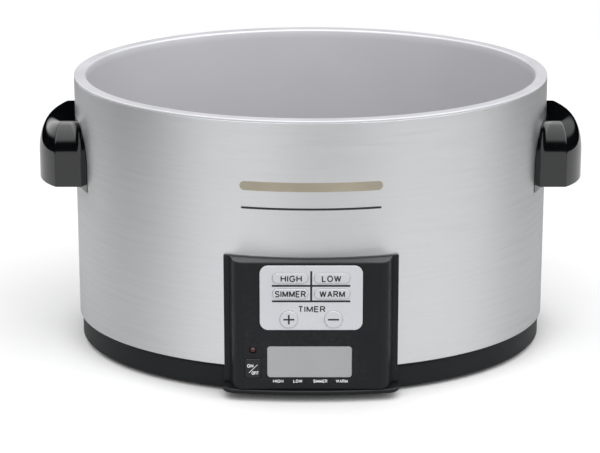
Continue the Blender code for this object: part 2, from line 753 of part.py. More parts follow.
def make_control_board():
    half_width, low, high = 46.0, 12.0, 91.0
    loops = [[(-half_width, low), (half_width, low), (half_width, high), (-half_width, high)]]
    loops += [ring_outline(PIN_RADIUS + GAP, p, 12) for p in control_board_posts()]
    extruded("control_board", loops, BOARD_FRONT, BOARD_BACK, BOARD_GREEN, "Y")
    places = [(name, x, z) for name, x, z, _ in key_places()]
    places.append(("power_button", POWER_KEY[0], POWER_KEY[1]))
    for name, x, z in places:
        half = SWITCH_SIZE / 2
        label = "switch_" + name.replace("key_", "").replace("_button", "")
        switch = box(label, (x - half, SWITCH_FRONT, z - half),
                     (x + half, BOARD_FRONT - GAP, z + half), DARK_PART)
        cut(switch, rod("plunger_well", KEY_STEM_RADIUS + GAP, (x, SWITCH_FRONT - 2, z),
                        (x, SWITCH_FRONT + 1.6, z), 12))


def make_heat_shield():
    half = BOX_HALF - 0.4
    box("heat_shield", (-half, SHIELD_FRONT, 16.0), (half, SHIELD_BACK, 94.0), ZINC)


# ---------------------------------------------------------------- inside the base
def make_tie_hardware():
    points = [(-36, BRACKET_TOP), (-20, BRACKET_TOP), (-14, BRACKET_DECK),
              (14, BRACKET_DECK), (20, BRACKET_TOP), (36, BRACKET_TOP)]
    bracket = bent_sheet("tie_bracket", points, -8.0, 8.0, 1.5, ZINC)
    cut(bracket, rod("hole", 2.3, (0, 0, 20), (0, 0, 50), 12))
    head = PLATE_BOTTOM - GAP
    bolt = [(0.0, 41.2), (2.0, 41.2), (2.0, head), (4.5, head), (4.5, head - 1.2), (3.6, head - 1.7),
            (0.0, head - 1.7)]
    turned("tie_bolt", bolt, ZINC)
    washer_low = BRACKET_DECK + GAP
    washer_high = washer_low + 1.0
    washer = [(5.0, washer_high), (5.0, washer_low), (2.3, washer_low), (2.3, washer_high)]
    turned("tie_washer", washer, ZINC, closed=True)
    nut_low = washer_high + GAP
    extruded("tie_nut", [ring_outline(4.6, segments=6), ring_outline(2.3, segments=12)],
             nut_low, nut_low + 4.0, ZINC)


def make_heater_band():
    """Band heater round the well, closed at the rear by a clamp bolt."""
    profile = []
    for height in (BAND_BOTTOM, BAND_TOP):
        profile.append((well_inset(height) - WELL_WALL - GAP - 0.1, height))
    outer = [(inset - BAND_WALL, height) for inset, height in reversed(profile)]
    band = oval_ring("heater_band", profile + outer, MICA)
    cut(band, box("gap", (-BAND_GAP_HALF, 90, 80), (BAND_GAP_HALF, 140, 160)))
    lugs = []
    holes = [rod("hole", 1.5, (-20, CLAMP_Y, CLAMP_Z), (20, CLAMP_Y, CLAMP_Z), 12)]
    for side in (-1, 1):
        ends = sorted((side * BAND_GAP_HALF, side * (BAND_GAP_HALF + 1.6)))
        lugs.append(box("lug", (ends[0], 115.0, CLAMP_Z - 6), (ends[1], 121.2, CLAMP_Z + 6)))
    join(band, *lugs)
    cut(band, *holes)
    lug_face = BAND_GAP_HALF + 1.6 + GAP
    bolt = [(0.0, 2.0), (2.1, 2.0), (2.1, 0.0), (1.2, 0.0), (1.2, -26.0), (0.0, -26.0)]
    turned("clamp_bolt", bolt, ZINC, (lug_face, CLAMP_Y, CLAMP_Z), (1, 0, 0), 12)
    nut = [(2.1, 2.0), (2.1, 0.0), (1.5, 0.0), (1.5, 2.0)]
    turned("clamp_nut", nut, ZINC, (-lug_face - 2.0, CLAMP_Y, CLAMP_Z), (1, 0, 0), 6, True)


def make_sensors():
    x, y = 35.0, -30.0
    deck = 36.9
    points = [(-14, BRACKET_TOP), (-8, BRACKET_TOP), (-6.5, deck),
              (6.5, deck), (8, BRACKET_TOP), (14, BRACKET_TOP)]
    bent_sheet("sensor_clip", points, -5.0, 5.0, 0.8, ZINC, (x, y, 0.0))
    rod("temperature_sensor", 5.0, (x, y, deck + GAP), (x, y, BRACKET_TOP), 16, CERAMIC)
    fuse_z = BRACKET_TOP - 2.3
    rod("thermal_fuse", 2.2, (-48, -30, fuse_z), (-32, -30, fuse_z), 12, CERAMIC)


def make_gland():
    """Cord entry: a flanged bush through the back of the sleeve."""
    inner, outer = 114.0, GLAND_END
    shell = HALF_DEPTH + GAP
    profile = [(5.6, outer), (7.0, outer - 1.0), (7.6, shell + 2.2), (10.0, shell + 1.8), (10.0, shell),
               (6.0, shell), (6.0, 121.9), (8.0, 121.9), (8.0, 119.4), (6.0, inner),
               (GLAND_BORE, inner), (GLAND_BORE, outer)]
    turned("cord_gland", profile, RUBBER, (0, 0, GLAND_Z), (0, 1, 0), 16, True)


def make_power_electronics():
    low, high = POWER_BOARD_LOW, POWER_BOARD_HIGH
    corners = [(low[0], low[1]), (high[0], low[1]), (high[0], high[1]), (low[0], high[1])]
    loops = [corners] + [ring_outline(PIN_RADIUS + GAP, p, 12) for p in power_board_posts()]
    extruded("power_board", loops, low[2], high[2], BOARD_GREEN)
    seat = high[2] + GAP
    box("relay", (-70, 14, seat), (-51, 29.5, seat + 15.7), DARK_PART)
    box("transformer", (-45, 20, seat), (-17, 44, seat + 22.0), COPPER)
    rod("filter_capacitor", 5.0, (-62, 42, seat), (-62, 42, seat + 14.0), 16, DARK_PART)


def make_wiring():
    ribbon_z = 12.7
    mesh_points = [(-119.2, 26.0), (-119.2, 15.5), (-116.5, ribbon_z), (POWER_BOARD_LOW[1] - 0.4, ribbon_z)]
    ribbon = bent_sheet("ribbon_cable", mesh_points, 31.0, 45.0, 0.8, WIRE)
    ribbon.data.transform(Matrix.Rotation(math.pi / 2, 4, "Z"))
    finish(ribbon)
    rise_y = 111.4
    tops = BAND_BOTTOM - 0.5
    seat = POWER_BOARD_HIGH[2] + 1.4
    left = [(-30, 50, seat), (-30, 62, 22), (-30, 85, 32), (-30, 104, 40),
            (-30, 112.5, 54), (-30, rise_y, 78), (-30, rise_y, tops)]
    right = [(-12, 46, seat), (-4, 58, 22), (12, 80, 30), (26, 102, 40),
             (30, 112.5, 54), (30, rise_y, 78), (30, rise_y, tops)]
    tube("heater_lead_1", left, 1.1, WIRE)
    tube("heater_lead_2", right, 1.1, WIRE)


clear_scene()
PARTS = make_collection("slow_cooker_base")
make_sleeve()
make_well()
make_base_ring()
make_bottom_plate()
make_feet()
make_base_screws()
for handle_label, handle_side in (("left", -1), ("right", 1)):
    make_handle(f"handle_{handle_label}", handle_side)
    make_handle_fixings(handle_label, handle_side)
make_control_housing()
make_keypad_plate()
make_keys()
make_display()
make_led()
make_control_board()
make_heat_shield()
make_tie_hardware()
make_heater_band()
make_sensors()
make_gland()
make_power_electronics()
make_wiring()
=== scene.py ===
"""Looks of the heating base of an oval programmable slow cooker.

The oval's axis is world Z, the control panel faces -Y and the floor is z = 0. Shapes are written in
millimetres and turned into metres as their meshes are made.
"""

import math

import bmesh
import bpy
from mathutils import Matrix, Vector


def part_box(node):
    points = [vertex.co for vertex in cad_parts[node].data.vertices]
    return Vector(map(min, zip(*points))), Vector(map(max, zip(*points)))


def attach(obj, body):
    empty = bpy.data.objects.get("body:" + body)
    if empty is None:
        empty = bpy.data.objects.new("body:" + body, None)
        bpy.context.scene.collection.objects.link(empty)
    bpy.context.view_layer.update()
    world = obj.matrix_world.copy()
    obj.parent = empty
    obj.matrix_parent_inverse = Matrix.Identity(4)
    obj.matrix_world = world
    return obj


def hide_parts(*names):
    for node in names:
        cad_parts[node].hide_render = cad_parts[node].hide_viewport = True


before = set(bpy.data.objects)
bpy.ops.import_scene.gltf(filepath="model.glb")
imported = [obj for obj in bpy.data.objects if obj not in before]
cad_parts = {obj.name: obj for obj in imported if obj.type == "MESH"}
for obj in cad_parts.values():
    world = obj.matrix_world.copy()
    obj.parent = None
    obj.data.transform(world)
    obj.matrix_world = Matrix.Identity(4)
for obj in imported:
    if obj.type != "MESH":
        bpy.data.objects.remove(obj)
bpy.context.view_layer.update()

MM = 0.001
AROUND = 256              # facets around the oval
WELD = 0.000003           # metres
PACKED = "packed_"


def corners(node):
    """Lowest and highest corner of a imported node, in millimetres."""
    low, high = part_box(node)
    return low / MM, high / MM


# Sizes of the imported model
SLEEVE_LOW, SLEEVE_HIGH = corners("outer_sleeve")
HALF_WIDTH = SLEEVE_HIGH.x
HALF_DEPTH = SLEEVE_HIGH.y
RIM_TOP = corners("heating_well")[1].z
SLEEVE_EDGE = RIM_TOP - 1.5        # the drawn sleeve runs up close under the rim
WELL_UNDERSIDE = corners("heating_well")[0].z
PANEL_BOTTOM = corners("control_housing")[0].z
KEYPAD_LOW, KEYPAD_HIGH = corners("keypad_plate")
HANDLE_LOW, HANDLE_HIGH = corners("handle_right")

# Clearances and walls
GAP = 0.3
OUTSIDE = -140.0          # in front of the panel, where cuts into it start
SLEEVE_WALL = 0.8
WELL_WALL = 1.0
WELL_DRAFT = 0.05         # inward slope of the well's wall
RIM_WIDTH = 7.9

# Control panel
FACE_Y = KEYPAD_LOW.y + 0.4
PANEL_HALF = 50.5
PANEL_ROOT_HALF = 53.0
PANEL_TOP = 94.5
BEZEL_TOP = PANEL_TOP + 0.5
PANEL_CORNER = 7.5
PANEL_WALL = 2.2
BOX_HALF = 50.2
BEZEL_HALF = 55.5
KEYPAD_SIZE = (65.4, 43.3, 5.4)               # width, height, corner radius
KEYPAD_AT = (0.0, (KEYPAD_LOW.z + KEYPAD_HIGH.z) / 2)
DISPLAY_SIZE = (54.2, 21.3, 2.0)
DISPLAY_AT = (-1.0, 27.25)
POWER_SIZE = (9.8, 12.8, 1.0)
POWER_AT = (-37.2, 23.1)
LED_AT = (-37.2, 35.4)
FUNCTION_SIZE = (22.6, 6.7, 3.3)
TIMER_SIZE = (11.4, 11.4, 5.69)
KEYS = (("high", (-13.3, 84.15), FUNCTION_SIZE), ("low", (13.3, 84.15), FUNCTION_SIZE),
        ("simmer", (-13.3, 73.75), FUNCTION_SIZE), ("warm", (13.3, 73.75), FUNCTION_SIZE),
        ("plus", (-14.2, 56.5), TIMER_SIZE), ("minus", (14.2, 56.5), TIMER_SIZE))
KEY_FACE = corners("key_high")[0].y
POWER_FACE = corners("power_button")[0].y
KEY_GAP = 0.08            # drawn gap round a key
OPENING_DEPTH = -126.0    # where cuts for the keys, the display and the lamp end
LINE_WIDTH = 1.3          # printed lines between the keys
INK = 0.05                # thickness of printed marks

# Handles, with how far each measure draws in towards the crown
SHOULDER = 131.0
ROOT_HALF, ROOT_DRAW = 44.0, 17.0
CHEEK_HALF, CHEEK_DRAW = 31.0, 6.0
EDGE_X, EDGE_DRAW = 170.0, 5.0
REACH_DRAW = 13.0
ROOT_FLARE = 7.0
HANDLE_WALL = 3.0
BOSS_RADIUS = 4.0
SCREW_Y = 18.0
SCREW_Z = 145.0

# Underside
FOOT_PLACE = (30.0, 50.0)                     # inset and angle
SCREW_PLACE = (10.7, 35.0)
TONGUE_HALF = 57.0
TONGUE_TOP = 8.2
TONGUE_LOW = 5.2
TONGUE_SAG = 5.0
TONGUE_CORNER = 8.0
FLOOR_LOW, FLOOR_HIGH = 3.6, 5.2              # the bottom plate's sheet
VENT_SIZE = (34.0, 4.0, 1.99)
VENT_AT = (60.0, -50.0)
VENT_STEP = 12.0
GLAND_Z = 40.0

# Radii of holes
SMALL_SCREW_HOLE = 1.8
HANDLE_SCREW_HOLE = 2.1
FOOT_HOLE = 2.2
TIE_HOLE = 2.3
LAMP_HOLE = 2.3
CORD_HOLE = 6.3


# ---------------------------------------------------------------- node trees
def feed(tree, socket, value):
    """Link a socket to another, or set it to a plain value."""
    if isinstance(value, bpy.types.NodeSocket):
        tree.links.new(value, socket)
    else:
        socket.default_value = value


def put(tree, kind, inputs=None, **settings):
    """Add a node with its settings, and link or set its inputs."""
    node = tree.nodes.new(kind)
    for key, value in settings.items():
        setattr(node, key, value)
    for key, value in (inputs or {}).items():
        feed(tree, node.inputs[key], value)
    return node


def calc(tree, operation, *values):
    node = put(tree, "ShaderNodeMath", dict(enumerate(values)), operation=operation)
    return node.outputs[0]


def vector(tree, x=0.0, y=0.0, z=0.0):
    return put(tree, "ShaderNodeCombineXYZ", {0: x, 1: y, 2: z}).outputs[0]


def new_tree(name, kind, inputs, outputs):
    """A node group with its named sockets, the group's own values and its results."""
    tree = bpy.data.node_groups.new(name, kind)
    for label, socket, value in inputs:
        entry = tree.interface.new_socket(label, in_out="INPUT", socket_type=socket)
        if value is not None:
            entry.default_value = value
    for label, socket in outputs:
        tree.interface.new_socket(label, in_out="OUTPUT", socket_type=socket)
    given = tree.nodes.new("NodeGroupInput").outputs
    result = tree.nodes.new("NodeGroupOutput").inputs
    return tree, given, result


def oval_sweep_tree():
    """Carries a profile round the oval. Its points are (inset, running length, height)."""
    tree, given, result = new_tree(
        "oval sweep", "GeometryNodeTree",
        [("Geometry", "NodeSocketGeometry", None), ("Half Width", "NodeSocketFloat", 0.16),
         ("Half Depth", "NodeSocketFloat", 0.12), ("Facets", "NodeSocketInt", AROUND),
         ("Finish", "NodeSocketMaterial", None)],
        [("Geometry", "NodeSocketGeometry")])
    count = put(tree, "GeometryNodeAttributeDomainSize", {0: given["Geometry"]}).outputs["Point Count"]
    columns = calc(tree, "ADD", given["Facets"], 1.0)
    grid = put(tree, "GeometryNodeMeshGrid", {"Vertices X": columns, "Vertices Y": count})
    index = tree.nodes.new("GeometryNodeInputIndex").outputs[0]
    column = calc(tree, "FLOOR", calc(tree, "DIVIDE", calc(tree, "ADD", index, 0.5), count))
    row = calc(tree, "SUBTRACT", index, calc(tree, "MULTIPLY", column, count))
    place = tree.nodes.new("GeometryNodeInputPosition").outputs[0]
    sample = put(tree, "GeometryNodeSampleIndex", {"Geometry": given["Geometry"], "Value": place,
                                                   "Index": row}, data_type="FLOAT_VECTOR")
    point = put(tree, "ShaderNodeSeparateXYZ", {0: sample.outputs[0]}).outputs
    share = calc(tree, "DIVIDE", column, given["Facets"])
    turn = calc(tree, "MULTIPLY_ADD", share, 2 * math.pi, math.pi / 2)
    across = calc(tree, "MULTIPLY", calc(tree, "SUBTRACT", given["Half Width"], point[0]),
                  calc(tree, "COSINE", turn))
    deep = calc(tree, "MULTIPLY", calc(tree, "SUBTRACT", given["Half Depth"], point[0]),
                calc(tree, "SINE", turn))
    moved = put(tree, "GeometryNodeSetPosition", {"Geometry": grid.outputs["Mesh"],
                                                  "Position": vector(tree, across, deep, point[2])})
    girth = calc(tree, "MULTIPLY", calc(tree, "ADD", given["Half Width"], given["Half Depth"]), math.pi)
    run = put(tree, "GeometryNodeFieldOnDomain",
              {0: vector(tree, calc(tree, "MULTIPLY", share, girth), point[1])},
              data_type="FLOAT_VECTOR", domain="POINT")
    mapped = put(tree, "GeometryNodeStoreNamedAttribute",
                 {"Geometry": moved.outputs[0], "Name": "run", "Value": run.outputs[0]},
                 data_type="FLOAT2", domain="CORNER")
    welded = put(tree, "GeometryNodeMergeByDistance", {"Geometry": mapped.outputs[0], "Distance": WELD})
    real = put(tree, "GeometryNodeRealizeInstances", {0: welded.outputs[0]})
    done = put(tree, "GeometryNodeSetMaterial", {"Geometry": real.outputs[0], "Material": given["Finish"]})
    tree.links.new(done.outputs[0], result[0])
    return tree


def repeat_tree():
    """Puts one item on every point, each turned a little differently about its own axis."""
    tree, given, result = new_tree(
        "repeat on points", "GeometryNodeTree",
        [("Geometry", "NodeSocketGeometry", None), ("Item", "NodeSocketObject", None),
         ("Turn", "NodeSocketVector", (0.0, 0.0, 0.0)), ("Twist", "NodeSocketFloat", 0.0),
         ("Seed", "NodeSocketInt", 3), ("Finish", "NodeSocketMaterial", None)],
        [("Geometry", "NodeSocketGeometry")])
    item = put(tree, "GeometryNodeObjectInfo", {"Object": given["Item"], "As Instance": True})
    spread = put(tree, "GeometryNodeInstanceOnPoints",
                 {"Points": given["Geometry"], "Instance": item.outputs["Geometry"],
                  "Rotation": given["Turn"]})
    chance = put(tree, "FunctionNodeRandomValue", {"Max": given["Twist"], "Seed": given["Seed"]},
                 data_type="FLOAT")
    twisted = put(tree, "GeometryNodeRotateInstances",
                  {"Instances": spread.outputs[0], "Rotation": vector(tree, z=chance.outputs["Value"]),
                   "Local Space": True})
    real = put(tree, "GeometryNodeRealizeInstances", {0: twisted.outputs[0]})
    done = put(tree, "GeometryNodeSetMaterial", {"Geometry": real.outputs[0], "Material": given["Finish"]})
    tree.links.new(done.outputs[0], result[0])
    return tree


def run_tree(piece, tree, **values):
    """Run a tree on a piece and keep the result as a plain mesh."""
    modifier = piece.modifiers.new(tree.name, "NODES")
    modifier.node_group = tree
    for entry in tree.interface.items_tree:
        key = entry.name.lower().replace(" ", "_")
        if entry.in_out == "INPUT" and key in values:
            modifier[entry.identifier] = values[key]
    return bake(piece)


# ---------------------------------------------------------------- finishes
def grain_group():
    """Fine uneven grain of a moulded or cast surface, with broader mottling."""
    tree, given, result = new_tree(
        "fine grain", "ShaderNodeTree",
        [("Vector", "NodeSocketVector", None), ("Size", "NodeSocketFloat", 0.0004),
         ("Mottle Size", "NodeSocketFloat", 0.03)],
        [("Grain", "NodeSocketFloat"), ("Mottle", "NodeSocketFloat")])
    for label, size, detail in (("Grain", given["Size"], 2.0), ("Mottle", given["Mottle Size"], 4.0)):
        scale = calc(tree, "DIVIDE", 1.0, size)
        noise = put(tree, "ShaderNodeTexNoise", {"Vector": given["Vector"], "Scale": scale, "Detail": detail})
        spread = put(tree, "ShaderNodeMapRange", {0: noise.outputs[0], 1: 0.3, 2: 0.7})
        tree.links.new(spread.outputs[0], result[label])
    return tree


def brush_group():
    """Long fine lines left by brushing. The first coordinate runs along them."""
    tree, given, result = new_tree(
        "brushed lines", "ShaderNodeTree",
        [("Vector", "NodeSocketVector", None), ("Line Length", "NodeSocketFloat", 0.05),
         ("Line Width", "NodeSocketFloat", 0.0003)],
        [("Lines", "NodeSocketFloat"), ("Bands", "NodeSocketFloat")])
    axes = put(tree, "ShaderNodeSeparateXYZ", {0: given["Vector"]}).outputs
    along = calc(tree, "DIVIDE", axes[0], given["Line Length"])
    for label, factor, detail in (("Lines", 1.0, 3.0), ("Bands", 0.13, 2.0)):
        width = calc(tree, "DIVIDE", given["Line Width"], factor)
        across = calc(tree, "DIVIDE", axes[1], width)
        stretched = vector(tree, calc(tree, "MULTIPLY", along, 0.5 + 0.5 * factor), across,
                           calc(tree, "DIVIDE", axes[2], width))
        noise = put(tree, "ShaderNodeTexNoise", {"Vector": stretched, "Scale": 1.0, "Detail": detail})
        spread = put(tree, "ShaderNodeMapRange", {0: noise.outputs[0], 1: 0.3, 2: 0.7})
        tree.links.new(spread.outputs[0], result[label])
    return tree


def wear_group():
    """Edges rubbed by handling, broken up by noise."""
    tree, given, result = new_tree(
        "edge wear", "ShaderNodeTree",
        [("Vector", "NodeSocketVector", None), ("Amount", "NodeSocketFloat", 0.3)],
        [("Mask", "NodeSocketFloat")])
    sharp = tree.nodes.new("ShaderNodeNewGeometry").outputs["Pointiness"]
    edge = put(tree, "ShaderNodeMapRange", {0: sharp, 1: 0.52, 2: 0.62}).outputs[0]
    noise = put(tree, "ShaderNodeTexNoise", {"Vector": given["Vector"], "Scale": 400.0, "Detail": 3.0})
    patches = put(tree, "ShaderNodeMapRange", {0: noise.outputs[0], 1: 0.4, 2: 0.65}).outputs[0]
    mask = calc(tree, "MULTIPLY", calc(tree, "MULTIPLY", edge, patches), given["Amount"])
    tree.links.new(mask, result["Mask"])
    return tree


def dust_group():
    """A little dust on whatever faces up."""
    tree, given, result = new_tree(
        "settled dust", "ShaderNodeTree",
        [("Vector", "NodeSocketVector", None), ("Amount", "NodeSocketFloat", 0.05)],
        [("Mask", "NodeSocketFloat")])
    normal = tree.nodes.new("ShaderNodeNewGeometry").outputs["Normal"]
    up = put(tree, "ShaderNodeSeparateXYZ", {0: normal}).outputs[2]
    flat = put(tree, "ShaderNodeMapRange", {0: up, 1: 0.6, 2: 1.0}).outputs[0]
    noise = put(tree, "ShaderNodeTexNoise", {"Vector": given["Vector"], "Scale": 60.0, "Detail": 6.0})
    drift = put(tree, "ShaderNodeMapRange", {0: noise.outputs[0], 1: 0.35, 2: 0.75}).outputs[0]
    mask = calc(tree, "MULTIPLY", calc(tree, "MULTIPLY", flat, drift), given["Amount"])
    tree.links.new(mask, result["Mask"])
    return tree


GRAIN = grain_group()
BRUSH = brush_group()
WEAR = wear_group()
DUST = dust_group()
DUST_COLOUR = (0.55, 0.54, 0.52)


def use_group(tree, group, **inputs):
    node = tree.nodes.new("ShaderNodeGroup")
    node.node_tree = group
    for key, value in inputs.items():
        feed(tree, node.inputs[key.replace("_", " ").title()], value)
    return node.outputs


def mix(tree, factor, first, second):
    """Blend two colours, each a socket or a plain colour."""
    inputs = {0: factor, 6: first, 7: second}
    for key in (6, 7):
        if isinstance(inputs[key], tuple):
            inputs[key] = (*inputs[key], 1.0)
    return put(tree, "ShaderNodeMix", inputs, data_type="RGBA", clamp_factor=True).outputs[2]


def tone(colour, factor):
    return tuple(channel * factor for channel in colour)


def start_finish(name, roughness, metallic, **sockets):
    """A new material, its tree and its shader, with the shader's fixed values set."""
    material = bpy.data.materials.new(name)
    material.use_nodes = True
    tree = material.node_tree
    shader = tree.nodes["Principled BSDF"]
    shader.inputs["Roughness"].default_value = roughness
    shader.inputs["Metallic"].default_value = metallic
    for key, value in sockets.items():
        shader.inputs[key.replace("_", " ")].default_value = value
    return material, tree, shader.inputs


def cast_finish(name, colour, roughness, metallic=0.0, grain=0.0005, relief=0.00002, contrast=0.12,
                wear=0.25, dust=0.04, mottle=0.03, painted_shade_tone=1.0, **sockets):
    """A moulded, cast or painted surface: grain, mottling, rubbed edges and dust.

    A tone under 1 paints shade into the colour below the rim, so the well's inside is darker downwards."""
    material, tree, shader = start_finish(name, roughness, metallic, **sockets)
    place = tree.nodes.new("ShaderNodeTexCoord").outputs["Object"]
    surface = use_group(tree, GRAIN, vector=place, size=grain, mottle_size=mottle)
    rubbed = use_group(tree, WEAR, vector=place, amount=wear)["Mask"]
    dusty = use_group(tree, DUST, vector=place, amount=dust)["Mask"]
    base = mix(tree, surface["Mottle"], tone(colour, 1 - contrast), tone(colour, 1 + contrast))
    pale = tuple(channel + 0.10 * (1 - channel) for channel in colour)
    base = mix(tree, rubbed, base, pale)
    base = mix(tree, dusty, base, DUST_COLOUR)
    # Painted shade: the colour darkens from just under the rim downwards, standing in for the shade inside
    # the well.
    if painted_shade_tone < 1.0:
        height = put(tree, "ShaderNodeSeparateXYZ", {0: place}).outputs[2]
        painted_shade_below_rim = put(tree, "ShaderNodeMapRange", {0: height, 1: (RIM_TOP - 1.5) * MM,
                                                  2: (RIM_TOP - 6.0) * MM}).outputs[0]
        base = mix(tree, painted_shade_below_rim, base, tone(colour, painted_shade_tone))
    tree.links.new(base, shader["Base Color"])
    spread = put(tree, "ShaderNodeMapRange", {0: surface["Mottle"], 3: roughness * 0.9, 4: roughness * 1.12})
    rough = calc(tree, "ADD", spread.outputs[0], calc(tree, "MULTIPLY", dusty, 0.5))
    tree.links.new(rough, shader["Roughness"])
    bump = put(tree, "ShaderNodeBump", {"Height": surface["Grain"], "Distance": relief, "Strength": 1.0})
    tree.links.new(bump.outputs[0], shader["Normal"])
    return material


def brushed_finish(name, colour, roughness, mapped, length, width, contrast=0.06, aniso=0.0):
    """Brushed or rolled metal. Mapped pieces carry their own map in metres along the lines."""
    material, tree, shader = start_finish(name, roughness, 1.0)
    if mapped:
        place = put(tree, "ShaderNodeUVMap", uv_map="run").outputs[0]
        tangent = put(tree, "ShaderNodeTangent", direction_type="UV_MAP", uv_map="run").outputs[0]
        tree.links.new(tangent, shader["Tangent"])
        shader["Anisotropic"].default_value = aniso
        shader["Anisotropic Rotation"].default_value = 0.25
    else:
        place = tree.nodes.new("ShaderNodeTexCoord").outputs["Object"]
    lines = use_group(tree, BRUSH, vector=place, line_length=length, line_width=width)
    streak = calc(tree, "MULTIPLY_ADD", lines["Bands"], 0.4, calc(tree, "MULTIPLY", lines["Lines"], 0.6))
    base = mix(tree, streak, tone(colour, 1 - contrast), tone(colour, 1 + contrast))
    dusty = use_group(tree, DUST, vector=place, amount=0.03)["Mask"]
    tree.links.new(mix(tree, dusty, base, DUST_COLOUR), shader["Base Color"])
    rough = put(tree, "ShaderNodeMapRange", {0: streak, 3: roughness * 1.15, 4: roughness * 0.85})
    tree.links.new(rough.outputs[0], shader["Roughness"])
    bump = put(tree, "ShaderNodeBump", {"Height": lines["Lines"], "Distance": 0.000004, "Strength": 1.0})
    tree.links.new(bump.outputs[0], shader["Normal"])
    return material


def make_finishes():
    """Every finish, by the record's slot name or the printed mark's own."""
    steel = (0.80, 0.812, 0.822)
    made = [
        brushed_finish("stainless", steel, 0.36, True, length=0.035, width=0.00035, aniso=0.75),
        # The well's finish carries painted shade below its rim.
        cast_finish("well_coating", (0.575, 0.575, 0.598), 0.42, 0.25, painted_shade_tone=0.80, grain=0.0004,
                    relief=0.000008, contrast=0.025, wear=0.15, dust=0.0),
        cast_finish("black_satin", (0.006, 0.0075, 0.0085), 0.38, grain=0.00035, relief=0.000012,
                    wear=0.12, dust=0.008, Specular_IOR_Level=0.3),
        cast_finish("black_gloss", (0.0025, 0.0032, 0.0036), 0.07, grain=0.002, relief=0.000002,
                    wear=0.05, dust=0.0, IOR=1.68, Coat_Weight=0.8, Coat_Roughness=0.04),
        cast_finish("black_rubber", (0.022, 0.022, 0.022), 0.8, grain=0.0006, relief=0.00004, wear=0.3),
        cast_finish("keypad_silver", (0.56, 0.57, 0.60), 0.42, 0.15, grain=0.0002, relief=0.000006,
                    contrast=0.02, wear=0.4, dust=0.0),
        cast_finish("key_silver", (0.55, 0.56, 0.59), 0.40, 0.15, grain=0.0002, relief=0.000006,
                    contrast=0.025, wear=0.5, dust=0.0),
        cast_finish("key_black", (0.010, 0.010, 0.011), 0.35, grain=0.0003, relief=0.00001, wear=0.3,
                    dust=0.0),
        cast_finish("display_lens", (0.33, 0.335, 0.34), 0.22, grain=0.0008, relief=0.000001,
                    contrast=0.03, wear=0.5, dust=0.0),
        cast_finish("led_red", (0.045, 0.002, 0.004), 0.2, grain=0.0008, relief=0.000002,
                    contrast=0.3, wear=0.0, dust=0.0, Coat_Weight=0.5),
        cast_finish("lcd_grey", (0.28, 0.31, 0.28), 0.4, grain=0.0003),
        cast_finish("board_green", (0.02, 0.13, 0.05), 0.42, grain=0.0012, relief=0.00004, contrast=0.35,
                    mottle=0.002),
        brushed_finish("zinc_steel", (0.52, 0.53, 0.52), 0.42, False, length=0.01, width=0.0006,
                       contrast=0.16),
        cast_finish("heater_mica", (0.40, 0.33, 0.24), 0.6, 0.2, grain=0.001, relief=0.00006, contrast=0.25),
        cast_finish("component_black", (0.03, 0.03, 0.033), 0.5, grain=0.0004),
        cast_finish("transformer_core", (0.26, 0.19, 0.12), 0.5, 0.3, grain=0.0006, relief=0.00005,
                    contrast=0.3),
        cast_finish("wire_sleeve", (0.58, 0.56, 0.50), 0.75, grain=0.0007, relief=0.00005, contrast=0.2),
        cast_finish("sensor_ceramic", (0.72, 0.70, 0.65), 0.6, grain=0.0005, relief=0.00002),
        cast_finish("ink_black", (0.012, 0.012, 0.014), 0.5, grain=0.0002, relief=0.000002, wear=0.0,
                    dust=0.0),
        cast_finish("ink_white", (0.72, 0.73, 0.74), 0.5, grain=0.0002, relief=0.000002, contrast=0.05,
                    wear=0.0, dust=0.0),
        cast_finish("ink_gold", (0.40, 0.36, 0.28), 0.38, 0.45, grain=0.0003, relief=0.000003,
                    contrast=0.08, wear=0.0, dust=0.0),
    ]
    return {material.name: material for material in made}


def set_packed_finishes_aside():
    """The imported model's plain materials make room for the finishes of the same names."""
    for material in list(bpy.data.materials):
        material.name = PACKED + material.name


def finish_cad_nodes():
    """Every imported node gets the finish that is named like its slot."""
    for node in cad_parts.values():
        for slot in node.material_slots:
            slot.material = FINISHES[slot.material.name.removeprefix(PACKED)]


# ---------------------------------------------------------------- shapes
def add_piece(name, mesh):
    piece = bpy.data.objects.new(name, mesh)
    bpy.context.scene.collection.objects.link(piece)
    return piece


def add_shape(name, shape):
    """A piece from a finished bmesh, which is freed."""
    mesh = bpy.data.meshes.new(name)
    shape.to_mesh(mesh)
    shape.free()
    return add_piece(name, mesh)


def add_points(name, points, faces=()):
    """A piece from points in millimetres."""
    mesh = bpy.data.meshes.new(name)
    mesh.from_pydata([tuple(value * MM for value in point) for point in points], [], list(faces))
    return add_piece(name, mesh)


def drop(piece):
    bpy.data.objects.remove(piece, do_unlink=True)


def evaluated_mesh(piece, name):
    bpy.context.view_layer.update()
    evaluated = piece.evaluated_get(bpy.context.evaluated_depsgraph_get())
    mesh = bpy.data.meshes.new_from_object(evaluated)
    mesh.name = name
    return mesh


def bake(piece):
    """Replace a piece's data by its evaluated mesh and drop the modifiers."""
    mesh = evaluated_mesh(piece, piece.name)
    piece.modifiers.clear()
    piece.data = mesh
    return piece


def clean(piece, weld=WELD):
    """Weld doubled points, drop slivers and turn the shell the right way out."""
    shape = bmesh.new()
    shape.from_mesh(piece.data)
    bmesh.ops.remove_doubles(shape, verts=shape.verts, dist=weld)
    bmesh.ops.dissolve_degenerate(shape, edges=shape.edges, dist=weld)
    bmesh.ops.recalc_face_normals(shape, faces=shape.faces)
    if shape.calc_volume(signed=True) < 0:
        bmesh.ops.reverse_faces(shape, faces=shape.faces)
    shape.to_mesh(piece.data)
    shape.free()
    return piece


def fair(piece, angle=35.0):
    """Smooth shading that keeps flats flat and edges crisp."""
    piece.data.shade_smooth()
    piece.data.set_sharp_from_angle(angle=math.radians(angle))
    normals = piece.modifiers.new("normals", "WEIGHTED_NORMAL")
    normals.keep_sharp = True
    return bake(piece)


